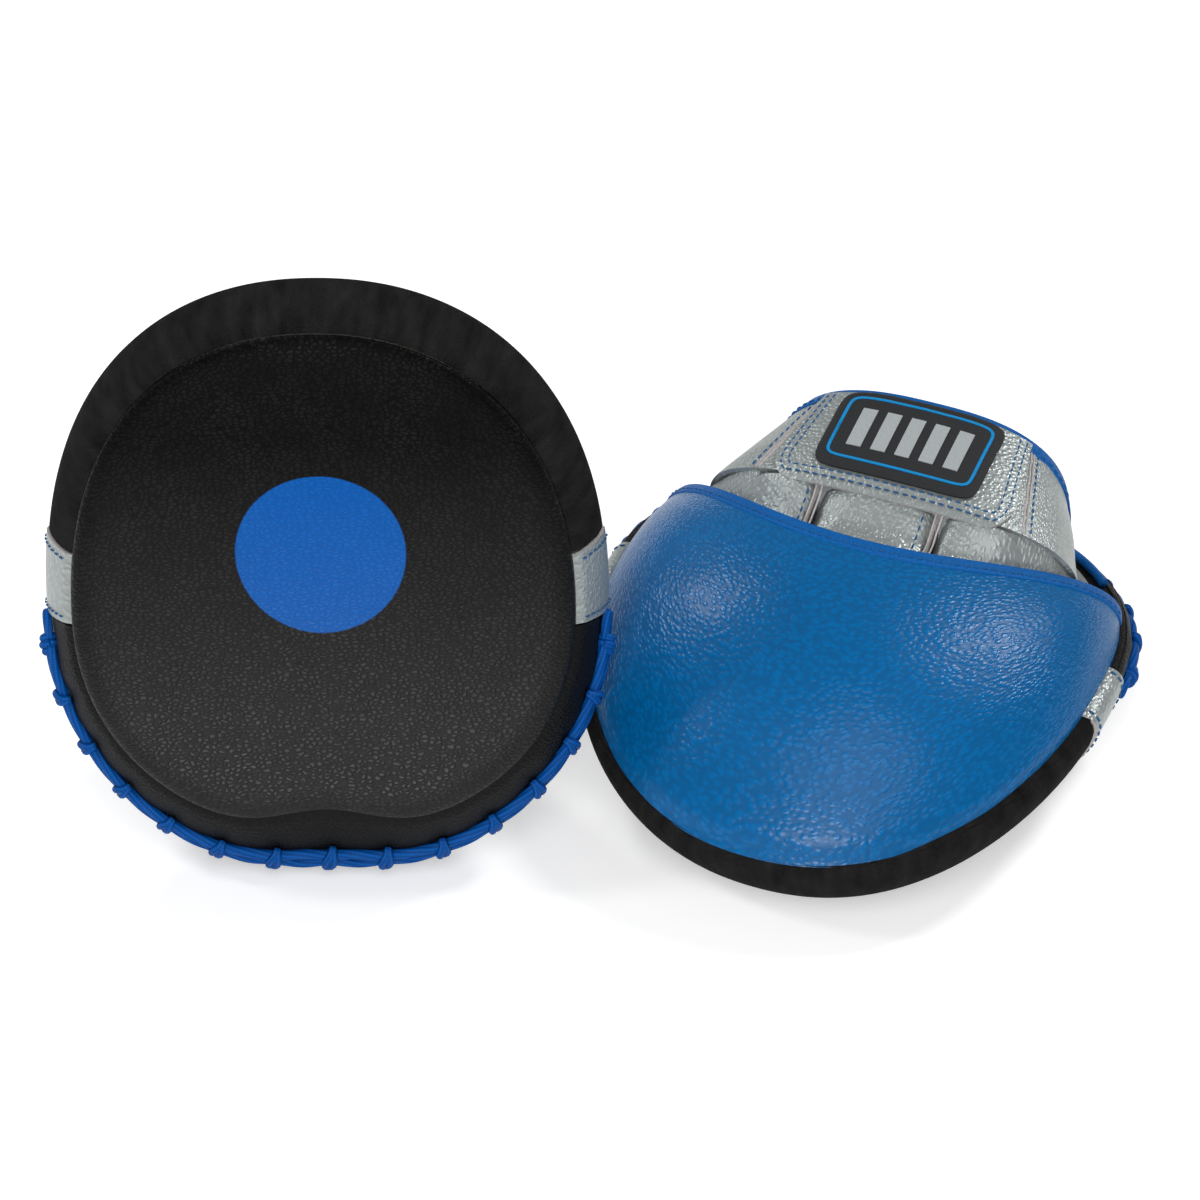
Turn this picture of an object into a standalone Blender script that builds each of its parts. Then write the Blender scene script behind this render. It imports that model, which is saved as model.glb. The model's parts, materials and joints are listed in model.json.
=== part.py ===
"""A pair of focus mitts, one lying on its striking face and one standing on its wrist end.

Each mitt is laid out flat, in its own coordinates: X across, Y towards the fingers and Z out of the back, with
Z = 0 at the back of the pad. The layout is then bent over an arc, so that the striking face is hollow, and placed.
"""

import math

import bmesh
import bpy
import numpy as np
from mathutils import Matrix, Vector

# Pad outline at the back, as a superellipse about a centre on the long axis.
PAD_HALF_WIDTH = 0.100
PAD_FINGER_REACH = 0.125
PAD_WRIST_REACH = 0.103
OUTLINE_CENTRE_Y = -0.008
OUTLINE_POWER = 2.15

# The face is smaller than the back all round, and its seam dips in the middle of the wrist end.
SEAM_SIDE_INSET = 0.010
SEAM_FINGER_INSET = 0.004
SEAM_WRIST_INSET = 0.0145
NOTCH_DEPTH = 0.009
NOTCH_HALF_WIDTH = 0.024

# Thickness, from the back to the face.
PAD_THICKNESS = 0.033
FACE_ROLL_DEPTH = 0.006
FACE_ROLL_WIDTH = 0.012
FACE_CROWN = 0.0012
BACK_LEATHER = 0.0016
BOARD_THICKNESS = 0.0020
CORE_FOAM_THICKNESS = 0.0110
RIM_LEATHER = 0.0016
FACE_LEATHER = 0.0016
RIM_BELLY = 0.0030
WRIST_BELLY = 0.0040
BEND_RADIUS = 0.340

# Side patches, over the joints of the rim.
PATCH_FRONT_Y = 0.017
PATCH_REAR_Y = -0.014
PATCH_PROUD = 0.0007

# Hood over the finger half of the back.
HOOD_CORNER_Y = -0.044
HOOD_LIP_Y = -0.002
HOOD_RISE = 0.035
HOOD_LEATHER = 0.0020
HOOD_EDGE_INSET = 0.003
HOOD_SIDE_INSET = 0.007
HOOD_LINING = 0.0025
HOOD_BINDING_RADIUS = 0.0024

# Hand pocket: three finger stalls, the middle one for two fingers, in front of the backhand and its side panels.
KNUCKLE_Y = -0.027
KNUCKLE_HALF_WIDTH = 0.074
KNUCKLE_HEIGHT = 0.040
SIDE_SETBACK = 0.017
CUFF_BASE_Y = -0.081
CUFF_TOP_Y = -0.070
CUFF_HALF_WIDTH = 0.058
CUFF_HEIGHT = 0.053
GLOVE_LEATHER = 0.0018
BACKHAND_SHARE = 0.43
BACKHAND_PADDING = 0.0030
CUFF_BINDING_RADIUS = 0.0022
STALL_SEAMS_X = (-0.056, -0.022, 0.025, 0.056)
STALL_SEAM = 0.0012
STALL_LEATHER = 0.0016
STALL_DIVE_Y = -0.017
STALL_DIVE_HEIGHT = 0.0315
STALL_TIP_HEIGHT = 0.016
OUTER_STALL_HEIGHT = 0.90
OUTER_STALL_EARLIER = 0.004
INDEX_TIP_Y = 0.064
MIDDLE_TIP_Y = 0.074
LITTLE_TIP_Y = 0.048

# Palm panel on the back at the wrist end.
PALM_LEATHER = 0.0016
PALM_FRONT_Y = -0.045
PALM_FRONT_HALF_WIDTH = 0.062
PALM_RIM_INSET = 0.0065
PALM_BINDING_RADIUS = 0.0018

# Badge on the backhand.
BADGE_WIDTH = 0.062
BADGE_FRONT_Y = -0.031
BADGE_REAR_Y = -0.067
BADGE_THICKNESS = 0.0020
BADGE_LINE_RADIUS = 0.0008
BADGE_LINE_INSET = 0.0035

# Lace along the wrist roll.
LACE_RADIUS = 0.0019
LACE_SHARE = 0.36
LACE_SPREAD = 0.0021
LACE_LENS = 0.0011
HITCH_PITCH = 0.020
HITCH_RADIUS = 0.0015
HITCH_HALF_SPAN = 0.0054
KNOT_RADIUS = 0.0042

# Clearances.
SEAT_GAP = 0.0003
SIDE_GAP = 0.0008
FILLING_GAP = 0.0018
LAYER_GAP = 0.0006
JOINT_ANGLE_GAP = math.radians(0.25)
REST_FLAT = 0.0008

# How the pair is set down.
RIGHT_YAW = math.radians(158)
RIGHT_PLACE = (0.074, -0.030)
LEFT_YAW = math.radians(180.0)
LEFT_PLACE = (-0.118, -0.057)

# Mesh fineness.
FINGER_STEPS = 12
PATCH_STEPS = 3
WRIST_STEPS = 12
HOOD_COLUMNS = 17
LINING_ROWS = 6
LINING_MARGIN = 3
GLOVE_COLUMNS = 6
STALL_COLUMNS = 9
TUBE_RESOLUTION = 1
LACE_STEPS_PER_HITCH = 2

WALL_DEPTH = PAD_THICKNESS - FACE_ROLL_DEPTH
FACE_FINGER_Y = OUTLINE_CENTRE_Y + PAD_FINGER_REACH - SEAM_FINGER_INSET
FACE_WRIST_Y = OUTLINE_CENTRE_Y - PAD_WRIST_REACH + SEAM_WRIST_INSET + 0.7 * NOTCH_DEPTH
# The bend is centred between the face's two ends, so that both reach the floor.
BEND_CENTRE_Y = (FACE_FINGER_Y + FACE_WRIST_Y) / 2
GLOVE_BASE = SEAT_GAP + PALM_LEATHER + SEAT_GAP

# Colours are linear RGB.
BLACK_LEATHER = ("black leather", (0.010, 0.010, 0.010), 0.45)
BLACK_SUEDE = ("black suede", (0.007, 0.007, 0.007), 0.95)
BLUE_LEATHER = ("blue leather", (0.0, 0.117, 0.376), 0.40)
BLUE_TAPE = ("blue binding tape", (0.0, 0.098, 0.392), 0.55)
BLUE_LACE = ("blue lace", (0.0, 0.080, 0.376), 0.60)
SILVER_LEATHER = ("silver leather", (0.376, 0.413, 0.402), 0.35)
FOAM = ("foam", (0.60, 0.58, 0.52), 0.95)
BOARD = ("backing board", (0.25, 0.20, 0.14), 0.80)
BADGE_RUBBER = ("black rubber", (0.017, 0.018, 0.019), 0.60)
BLUE_RUBBER = ("blue rubber", (0.0, 0.223, 0.515), 0.50)


def superellipse(angles, half_width, finger_reach, wrist_reach):
    across, along = np.cos(angles), np.sin(angles)
    reach = np.where(along > 0, finger_reach, wrist_reach)
    power = 2 / OUTLINE_POWER
    x = half_width * np.sign(across) * np.abs(across) ** power
    y = OUTLINE_CENTRE_Y + reach * np.sign(along) * np.abs(along) ** power
    return np.stack([x, y], -1)


def seam_outline(angles):
    points = superellipse(
        angles,
        PAD_HALF_WIDTH - SEAM_SIDE_INSET,
        PAD_FINGER_REACH - SEAM_FINGER_INSET,
        PAD_WRIST_REACH - SEAM_WRIST_INSET,
    )
    dip = NOTCH_DEPTH * np.exp(-((points[..., 0] / NOTCH_HALF_WIDTH) ** 2))
    points[..., 1] += np.where(np.sin(angles) < 0, dip, 0.0)
    return points


def wall_outline(angles, share):
    """Plan of the pad's side wall, at a share of the way from the back edge to the face seam."""
    back = superellipse(angles, PAD_HALF_WIDTH, PAD_FINGER_REACH, PAD_WRIST_REACH)
    wristward = np.clip(-np.sin(angles), 0, 1)
    belly = RIM_BELLY + (WRIST_BELLY - RIM_BELLY) * wristward
    bulge = 4 * share * (1 - share) * belly
    spread = np.stack([np.cos(angles), np.sin(angles)], -1)
    return back + (seam_outline(angles) - back) * share + spread * bulge[..., None]


def wall(angles, share, out=0.0, depth=None):
    """Points on the side wall, moved outwards in plan."""
    angles = np.asarray(angles, float)
    step = 0.004
    ahead, behind = wall_outline(angles + step, share), wall_outline(angles - step, share)
    tangent = ahead - behind
    tangent /= np.linalg.norm(tangent, axis=-1, keepdims=True)
    normal = np.stack([tangent[..., 1], -tangent[..., 0]], -1)
    plan = wall_outline(angles, share) + normal * out
    level = -share * WALL_DEPTH if depth is None else -depth
    return np.concatenate([plan, np.full(plan.shape[:-1] + (1,), level)], -1)


def angle_at(y):
    """Outline angle, on the +X side, where the back edge has this Y."""
    reach = PAD_FINGER_REACH if y > OUTLINE_CENTRE_Y else PAD_WRIST_REACH
    rise = (y - OUTLINE_CENTRE_Y) / reach
    return math.copysign(math.asin(abs(rise) ** (OUTLINE_POWER / 2)), rise)


def half_width_at(y):
    """Half the width of the back edge at this Y."""
    return PAD_HALF_WIDTH * abs(math.cos(angle_at(y))) ** (2 / OUTLINE_POWER)


def right_side_angles():
    """Angles from the finger end down the +X side to the wrist end."""
    front, rear = angle_at(PATCH_FRONT_Y), angle_at(PATCH_REAR_Y)
    finger = np.linspace(math.pi / 2, front, FINGER_STEPS)
    patch = np.linspace(front, rear, PATCH_STEPS)
    wrist = np.linspace(rear, -math.pi / 2, WRIST_STEPS)
    return np.concatenate([finger, patch[1:], wrist[1:]])


def ring_angles():
    right = right_side_angles()
    left = math.pi - right[-2:0:-1]
    return np.concatenate([right, left])


def bent(points):
    """Flat layout to the curved mitt: its length follows an arc about an axis across it."""
    points = np.asarray(points, float)
    swing = (points[..., 1] - BEND_CENTRE_Y) / BEND_RADIUS
    reach = BEND_RADIUS + points[..., 2]
    along = BEND_CENTRE_Y + reach * np.sin(swing)
    up = reach * np.cos(swing) - BEND_RADIUS
    return np.stack([points[..., 0], along, up], -1)


def smooth_profile(y, stops):
    """Height at each Y through a few (y, height) stops, eased between them."""
    places = np.array(stops)
    order = np.argsort(places[:, 0])
    return np.interp(y, places[order, 0], places[order, 1])


class Mitt:
    """One mitt: its empties, its collection and which hand it is for (+1 has the thumb at -X)."""

    def __init__(self, name, hand, pair):
        self.name = name
        self.hand = hand
        self.nodes = []
        self.pair = pair
        self.pad = self.add_empty("pad_frame", (0, 0, 0), None)
        hood_hinge = (0, OUTLINE_CENTRE_Y + PAD_FINGER_REACH - HOOD_EDGE_INSET, SIDE_GAP)
        glove_hinge = (0, KNUCKLE_Y, GLOVE_BASE + KNUCKLE_HEIGHT)
        self.hood = self.add_empty("hood_hinge", hood_hinge, self.pad)
        self.glove = self.add_empty("glove_hinge", glove_hinge, self.pad)

    def add_empty(self, name, flat_place, parent):
        empty = bpy.data.objects.new(f"{self.name}_{name}", None)
        empty.empty_display_size = 0.02
        empty.parent = parent if parent else self.pair
        empty.location = bent(flat_place)
        parts_collection().objects.link(empty)
        return empty

    def points(self, flat_points, carrier):
        """Curved points of this hand, measured from the empty that carries them."""
        curved = bent(np.asarray(flat_points, float) * (self.hand, 1, 1))
        if carrier is self.pad:
            return curved
        return curved - np.array(carrier.location)

    def add(self, name, data, carrier, finish):
        obj = bpy.data.objects.new(f"{self.name}_{name}", data)
        obj.parent = carrier
        data.materials.clear()
        data.materials.append(material_for(finish))
        parts_collection().objects.link(obj)
        self.nodes.append(obj)
        return obj


def parts_collection():
    return collection_named("focus mitts")


def collection_named(name):
    found = bpy.data.collections.get(name)
    if found is None:
        found = bpy.data.collections.new(name)
        bpy.context.scene.collection.children.link(found)
    return found


def material_for(finish):
    name, colour, roughness = finish
    found = bpy.data.materials.get(name)
    if found is None:
        found = bpy.data.materials.new(name)
        found.use_nodes = True
        shader = found.node_tree.nodes["Principled BSDF"]
        shader.inputs["Base Color"].default_value = (*colour, 1.0)
        shader.inputs["Roughness"].default_value = roughness
        shader.inputs["Metallic"].default_value = 0.0
    return found


def cap_faces(start, count):
    """Strips across a ring whose points lie in left and right pairs."""
    half = count // 2
    faces = [(start, start + 1, start + count - 1)]
    for k in range(1, half - 1):
        faces.append((start + k, start + k + 1, start + count - k - 1, start + count - k))
    faces.append((start + half - 1, start + half, start + half + 1))
    return faces


def ring_faces(count, rings):
    faces = []
    for level in range(rings - 1):
        low, high = level * count, (level + 1) * count
        for k in range(count):
            after = (k + 1) % count
            faces.append((low + k, low + after, high + after, high + k))
    return faces


def mesh_from(name, points, faces, closed):
    mesh = bpy.data.meshes.new(name)
    mesh.from_pydata([tuple(p) for p in points], [], faces)
    shape = bmesh.new()
    shape.from_mesh(mesh)
    bmesh.ops.recalc_face_normals(shape, faces=shape.faces)
    if closed and shape.calc_volume(signed=True) < 0:
        bmesh.ops.reverse_faces(shape, faces=shape.faces)
    shape.to_mesh(mesh)
    shape.free()
    mesh.shade_smooth()
    return mesh


def face_towards(mesh, aim):
    """Turns an open surface so that it faces along aim(centre) on the whole."""
    total = sum(poly.normal.dot(aim(poly.center)) * poly.area for poly in mesh.polygons)
    if total < 0:
        mesh.flip_normals()


def thicken(obj, thickness, outwards):
    solidify = obj.modifiers.new("thickness", "SOLIDIFY")
    solidify.thickness = thickness
    solidify.offset = 1.0 if outwards else -1.0
    solidify.use_even_offset = True


def add_layer(mitt, name, rings, finish, lowest=None):
    """A closed slab through a stack of rings, capped at both ends and cut flat at a lowest level."""
    count = len(rings[0])
    points = mitt.points(np.concatenate(rings), mitt.pad)
    if lowest is not None:
        points[:, 2] = np.maximum(points[:, 2], lowest)
    last = (len(rings) - 1) * count
    faces = ring_faces(count, len(rings)) + cap_faces(0, count) + cap_faces(last, count)
    mesh = mesh_from(name, points, faces, True)
    return mitt.add(name, mesh, mitt.pad, finish)


def add_sheet(mitt, name, grid, carrier, finish, thickness, aim, outwards=False):
    """A sheet of even thickness on a grid of points, given as rows of points."""
    grid = np.asarray(grid, float)
    rows, columns = grid.shape[:2]
    points = mitt.points(grid.reshape(-1, 3), carrier)
    faces = []
    for r in range(rows - 1):
        for c in range(columns - 1):
            low = r * columns + c
            faces.append((low, low + 1, low + columns + 1, low + columns))
    mesh = mesh_from(name, points, faces, False)
    face_towards(mesh, aim)
    obj = mitt.add(name, mesh, carrier, finish)
    thicken(obj, thickness, outwards)
    return obj


def tube_curve(name, runs, radius, cyclic=False):
    curve = bpy.data.curves.new(name, "CURVE")
    curve.dimensions = "3D"
    curve.bevel_depth = radius
    curve.bevel_resolution = TUBE_RESOLUTION
    curve.use_fill_caps = True
    for run in runs:
        spline = curve.splines.new("POLY")
        spline.points.add(len(run) - 1)
        for point, place in zip(spline.points, run):
            point.co = (*place, 1.0)
        spline.use_cyclic_u = cyclic
    return curve


def add_tube(mitt, name, flat_run, radius, carrier, finish, cyclic=False):
    run = mitt.points(flat_run, carrier)
    curve = tube_curve(name, [run], radius, cyclic)
    return mitt.add(name, curve, carrier, finish)


def upwards(_centre):
    return Vector((0, 0, 1))


def sideways(centre):
    return Vector((centre.x, centre.y, 0))


def roll_ring(angles, turn, clear):
    """Ring on the face's rolled edge: turn 0 at the seam, a quarter turn where the face lies flat."""
    lean = np.array([math.cos(turn) / FACE_ROLL_WIDTH, math.sin(turn) / FACE_ROLL_DEPTH])
    lean /= np.linalg.norm(lean)
    inset = FACE_ROLL_WIDTH * (1 - math.cos(turn)) + clear * lean[0]
    drop = FACE_ROLL_DEPTH * math.sin(turn) - clear * lean[1]
    return wall(angles, 1.0, -inset, WALL_DEPTH + drop)


def face_rings(clear):
    """Rings of the face from its seam to its crown, set inside the surface by a clearance."""
    angles = ring_angles()
    rings = [roll_ring(angles, math.radians(turn), clear) for turn in (0, 30, 60, 90)]
    crown = rings[-1] * (0.62, 0.62, 1.0)
    crown[:, 2] -= FACE_CROWN
    return rings + [crown]


def rest_level():
    """Height, in the curved mitt, of the plane that both ends of a mitt lying on its face rest on."""
    low = bent(np.concatenate(face_rings(0.0)))
    finger_end = low[low[:, 1] > 0, 2].min()
    wrist_end = low[low[:, 1] < 0, 2].min()
    return max(finger_end, wrist_end) + REST_FLAT


def add_pad(mitt):
    angles = ring_angles()

    def slab_ring(depth, extra=0.0):
        share = min(depth / WALL_DEPTH, 1.0)
        return wall(angles, share, -(RIM_LEATHER + FILLING_GAP + extra), depth)

    shell = face_rings(FACE_LEATHER)[::-1] + face_rings(0.0)
    add_layer(mitt, "face_panel", shell, BLACK_LEATHER, rest_level())

    back_low = BACK_LEATHER
    board_top = back_low + SEAT_GAP
    board_low = board_top + BOARD_THICKNESS
    core_top = board_low + SEAT_GAP
    core_low = core_top + CORE_FOAM_THICKNESS
    impact_top = core_low + SEAT_GAP
    add_layer(mitt, "back_panel", [slab_ring(0.0), slab_ring(back_low)], BLACK_SUEDE)
    add_layer(mitt, "backing_board", [slab_ring(board_top), slab_ring(board_low)], BOARD)
    add_layer(mitt, "core_foam", [slab_ring(core_top), slab_ring(core_low)], FOAM)
    inner_face = face_rings(FACE_LEATHER + LAYER_GAP)[1:]
    shoulder = slab_ring(WALL_DEPTH, LAYER_GAP)
    add_layer(mitt, "impact_foam", [slab_ring(impact_top), shoulder] + inner_face, FOAM)


def add_band(mitt, name, angles, out, finish, levels):
    shares = np.linspace(SEAT_GAP / WALL_DEPTH, 1 - SEAT_GAP / WALL_DEPTH, levels)
    grid = [wall(angles, share, out) for share in shares]
    add_sheet(mitt, name, grid, mitt.pad, finish, RIM_LEATHER + out, sideways)


def add_rim(mitt):
    right = right_side_angles()
    finger = right[:FINGER_STEPS].copy()
    finger[-1] += JOINT_ANGLE_GAP
    over_fingers = np.concatenate([finger[::-1], math.pi - finger[1:]])
    add_band(mitt, "finger_rim", over_fingers, 0.0, BLACK_SUEDE, 4)

    wrist = right[FINGER_STEPS + PATCH_STEPS - 2 :].copy()
    wrist[0] -= JOINT_ANGLE_GAP
    round_wrist = np.concatenate([wrist, (-math.pi - wrist[::-1])[1:]])
    add_band(mitt, "wrist_rim", round_wrist, 0.0, BLACK_LEATHER, 5)

    patch = right[FINGER_STEPS - 1 : FINGER_STEPS + PATCH_STEPS - 1].copy()
    patch[0] -= JOINT_ANGLE_GAP
    patch[-1] += JOINT_ANGLE_GAP
    add_band(mitt, "outer_patch", patch, PATCH_PROUD, SILVER_LEATHER, 4)
    add_band(mitt, "thumb_patch", math.pi - patch, PATCH_PROUD, SILVER_LEATHER, 4)


def hood_point(u, v, angle):
    """Inside of the hood: u runs across the lip, v from the lip to the sewn edge at this outline angle."""
    across = math.sin(u * math.pi / 2)
    lip_x = (half_width_at(HOOD_CORNER_Y) - HOOD_SIDE_INSET) * across
    lip_y = HOOD_CORNER_Y + (HOOD_LIP_Y - HOOD_CORNER_Y) * (1 - across**2)
    inset = HOOD_EDGE_INSET + (HOOD_SIDE_INSET - HOOD_EDGE_INSET) * math.cos(angle) ** 2
    edge = wall(np.array([angle]), 0.0, -inset)[0]
    swell = (1 - v**2.2) * (1 + 0.25 * v)
    height = HOOD_RISE * max(1 - across**2, 0.0) ** 0.55 * swell
    x = lip_x + (edge[0] - lip_x) * v
    y = lip_y + (edge[1] - lip_y) * v
    return (x, y, SIDE_GAP + height)


def hood_grid(rows):
    sewn_from = angle_at(HOOD_CORNER_Y + 4 * HOOD_BINDING_RADIUS)
    us = np.linspace(1, -1, HOOD_COLUMNS)
    angles = math.pi / 2 + (sewn_from - math.pi / 2) * us
    return np.array([[hood_point(u, v, angle) for u, angle in zip(us, angles)] for v in rows])


def add_hood(mitt):
    rows = (0.0, 0.12, 0.30, 0.50, 0.68, 0.83, 0.94, 1.0)
    shell = hood_grid(rows)
    add_sheet(mitt, "finger_hood", shell, mitt.hood, BLUE_LEATHER, HOOD_LEATHER, upwards, True)

    lining = shell[: LINING_ROWS, LINING_MARGIN:-LINING_MARGIN] - (0, 0, SIDE_GAP)
    add_sheet(mitt, "hood_lining", lining, mitt.hood, FOAM, HOOD_LINING, upwards)

    away = shell[0] - shell[1]
    away /= np.linalg.norm(away, axis=1, keepdims=True)
    lip = shell[0] + away * (HOOD_BINDING_RADIUS + SEAT_GAP)
    lip[:, 2] = np.maximum(lip[:, 2], HOOD_BINDING_RADIUS + SEAT_GAP)
    add_tube(mitt, "hood_binding", lip, HOOD_BINDING_RADIUS, mitt.hood, BLUE_TAPE)


def glove_point(u, v, lift=0.0):
    """Outside of the hand pocket: u across the arch from side to side, v from the knuckles to the cuff."""
    turn = u * math.pi / 2
    sideways_share = math.copysign(abs(math.sin(turn)) ** 0.75, u)
    height_share = max(math.cos(turn), 0.0) ** 0.55
    cuff_y = CUFF_BASE_Y + (CUFF_TOP_Y - CUFF_BASE_Y) * height_share
    front_y = KNUCKLE_Y - SIDE_SETBACK * (1 - height_share)
    y = front_y + (cuff_y - front_y) * v
    half_width = KNUCKLE_HALF_WIDTH + (CUFF_HALF_WIDTH - KNUCKLE_HALF_WIDTH) * v
    height = KNUCKLE_HEIGHT + (CUFF_HEIGHT - KNUCKLE_HEIGHT) * v
    x = (half_width + lift * abs(sideways_share)) * sideways_share
    return (x, y, GLOVE_BASE + (height + lift) * height_share)


def backhand_v(y):
    """Share of the way from the knuckles to the top of the cuff at this Y."""
    return (y - KNUCKLE_Y) / (CUFF_TOP_Y - KNUCKLE_Y)


def backhand_u(x, v):
    """Place across the arch, at this v, that lies this far from the middle."""
    half_width = KNUCKLE_HALF_WIDTH + (CUFF_HALF_WIDTH - KNUCKLE_HALF_WIDTH) * v
    share = (abs(x) / half_width) ** (1 / 0.75)
    return math.copysign(math.asin(share) / (math.pi / 2), x)


def add_glove(mitt):
    seam = SEAT_GAP / KNUCKLE_HALF_WIDTH
    rows = np.linspace(0.012, 1.0, 5)

    def panel(first, last, columns):
        us = np.linspace(first, last, columns)
        return [[glove_point(u, v) for u in us] for v in rows]

    backhand = panel(-BACKHAND_SHARE, BACKHAND_SHARE, 9)
    outer = panel(BACKHAND_SHARE + 2 * seam, 1.0, GLOVE_COLUMNS)
    thumb = panel(-1.0, -BACKHAND_SHARE - 2 * seam, GLOVE_COLUMNS)
    add_sheet(mitt, "backhand_panel", backhand, mitt.glove, SILVER_LEATHER, GLOVE_LEATHER, upwards)
    add_sheet(mitt, "outer_side_panel", outer, mitt.glove, SILVER_LEATHER, GLOVE_LEATHER, upwards)
    add_sheet(mitt, "thumb_side_panel", thumb, mitt.glove, SILVER_LEATHER, GLOVE_LEATHER, upwards)

    inside = -(GLOVE_LEATHER + LAYER_GAP)
    us = np.linspace(-0.9, 0.9, 7) * BACKHAND_SHARE
    padding = [[glove_point(u, v, inside) for u in us] for v in np.linspace(0.06, 0.94, 4)]
    add_sheet(mitt, "backhand_padding", padding, mitt.glove, FOAM, BACKHAND_PADDING, upwards)

    clear = CUFF_BINDING_RADIUS + SEAT_GAP
    cuff = np.array([glove_point(u, 1.0, -GLOVE_LEATHER / 2) for u in np.linspace(-1, 1, 17)])
    cuff[:, 1] -= clear
    cuff[:, 2] = np.maximum(cuff[:, 2], GLOVE_BASE + clear)
    add_tube(mitt, "cuff_binding", cuff, CUFF_BINDING_RADIUS, mitt.glove, BLUE_TAPE)


def add_badge(mitt):
    def place(x, y, lift):
        v = backhand_v(y)
        return glove_point(backhand_u(x, v), v, lift)

    xs = np.linspace(-1, 1, 7) * BADGE_WIDTH / 2
    ys = np.linspace(BADGE_FRONT_Y, BADGE_REAR_Y, 4)
    grid = [[place(x, y, SIDE_GAP) for x in xs] for y in ys]
    add_sheet(mitt, "badge", grid, mitt.glove, BADGE_RUBBER, BADGE_THICKNESS, upwards, True)

    line_x = BADGE_WIDTH / 2 - BADGE_LINE_INSET
    front, rear = BADGE_FRONT_Y - BADGE_LINE_INSET, BADGE_REAR_Y + BADGE_LINE_INSET
    lift = SIDE_GAP + BADGE_THICKNESS + LAYER_GAP + BADGE_LINE_RADIUS
    steps = np.linspace(-1, 1, 7) * line_x
    loop = [place(x, front, lift) for x in steps] + [place(x, rear, lift) for x in steps[::-1]]
    add_tube(mitt, "badge_outline", loop, BADGE_LINE_RADIUS, mitt.glove, BLUE_RUBBER, True)


def add_stall(mitt, name, low_x, high_x, tip_y):
    """A finger stall: an arch that dives under the hood and closes at its tip."""
    middle, half_width = (low_x + high_x) / 2, (high_x - low_x - STALL_SEAM) / 2
    start = KNUCKLE_Y + LAYER_GAP
    outside = low_x * high_x > 0
    lowered = OUTER_STALL_HEIGHT if outside else 1.0
    dive_y = STALL_DIVE_Y - (OUTER_STALL_EARLIER if outside else 0.0)
    dive_top = STALL_DIVE_HEIGHT * lowered
    stops = (
        (start, GLOVE_BASE + KNUCKLE_HEIGHT * lowered),
        (start + 0.3 * (dive_y - start), GLOVE_BASE + 0.85 * KNUCKLE_HEIGHT),
        (dive_y, dive_top),
        (dive_y + 0.5 * (tip_y - dive_y), 0.5 * (dive_top + STALL_TIP_HEIGHT) + 0.002),
        (tip_y, STALL_TIP_HEIGHT),
    )
    run = tip_y - dive_y
    dive = np.linspace(start, dive_y, 4)
    beyond = dive_y + run * np.array([0.30, 0.62, 0.84, 0.95, 1.0])
    shrink = np.array([1.0, 1.0, 1.0, 1.0, 1.0, 1.0, 0.92, 0.72, 0.40])
    grid = []
    for y, size in zip(np.concatenate([dive, beyond]), shrink):
        top = smooth_profile(y, stops) * size
        row = []
        for turn in np.linspace(math.pi / 2, -math.pi / 2, STALL_COLUMNS):
            x = half_width * size * math.copysign(abs(math.sin(turn)) ** 0.7, turn)
            z = SIDE_GAP + (top - SIDE_GAP) * max(math.cos(turn), 0.0) ** 0.7
            row.append((middle + x, y, z))
        grid.append(row)
    add_sheet(mitt, name, grid, mitt.pad, SILVER_LEATHER, STALL_LEATHER, upwards)


def add_palm(mitt):
    binding_room = 2 * PALM_BINDING_RADIUS + SEAT_GAP
    wrist_end = OUTLINE_CENTRE_Y - PAD_WRIST_REACH + PALM_RIM_INSET + binding_room
    grid = []
    for y in np.linspace(PALM_FRONT_Y, wrist_end + 0.002, 9):
        free = PALM_FRONT_HALF_WIDTH + (PALM_FRONT_Y - y)
        within = half_width_at(y - PALM_RIM_INSET) - PALM_RIM_INSET - binding_room
        half = min(free, within)
        grid.append([(x, y, SEAT_GAP) for x in np.linspace(half, -half, 3)])
    add_sheet(mitt, "palm_panel", grid, mitt.pad, SILVER_LEATHER, PALM_LEATHER, upwards, True)

    side = angle_at(CUFF_TOP_Y)
    angles = np.linspace(side, -math.pi - side, 19)
    run = wall(angles, 0.0, -PALM_RIM_INSET)
    run[:, 2] = PALM_BINDING_RADIUS + SEAT_GAP
    add_tube(mitt, "palm_binding", run, PALM_BINDING_RADIUS, mitt.pad, BLUE_TAPE)


def lace_angles():
    """Angles of even steps along the lace's line, with a hitch at every LACE_STEPS_PER_HITCH steps."""
    start = angle_at(PATCH_REAR_Y - 3 * KNOT_RADIUS)
    fine = np.linspace(start, -math.pi - start, 400)
    line = wall(fine, LACE_SHARE)
    gaps = np.linalg.norm(np.diff(line, axis=0), axis=1)
    along = np.concatenate([[0.0], np.cumsum(gaps)])
    hitches = max(2, round(along[-1] / HITCH_PITCH))
    steps = hitches * LACE_STEPS_PER_HITCH
    return np.interp(np.linspace(0, along[-1], steps + 1), along, fine)


def wall_frame(angle):
    """Point, depth direction and outward normal of the wrist roll on the lace's line."""
    step = 0.01
    here = wall(np.array([angle]), LACE_SHARE)[0]
    depth = wall(np.array([angle]), LACE_SHARE + step)[0] - wall(np.array([angle]), LACE_SHARE - step)[0]
    along = wall(np.array([angle + step]), LACE_SHARE)[0] - wall(np.array([angle - step]), LACE_SHARE)[0]
    depth /= np.linalg.norm(depth)
    normal = np.cross(along, depth)
    normal /= np.linalg.norm(normal)
    if normal @ np.array([math.cos(angle), math.sin(angle), 0.0]) < 0:
        normal = -normal
    return here, depth, normal


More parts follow.
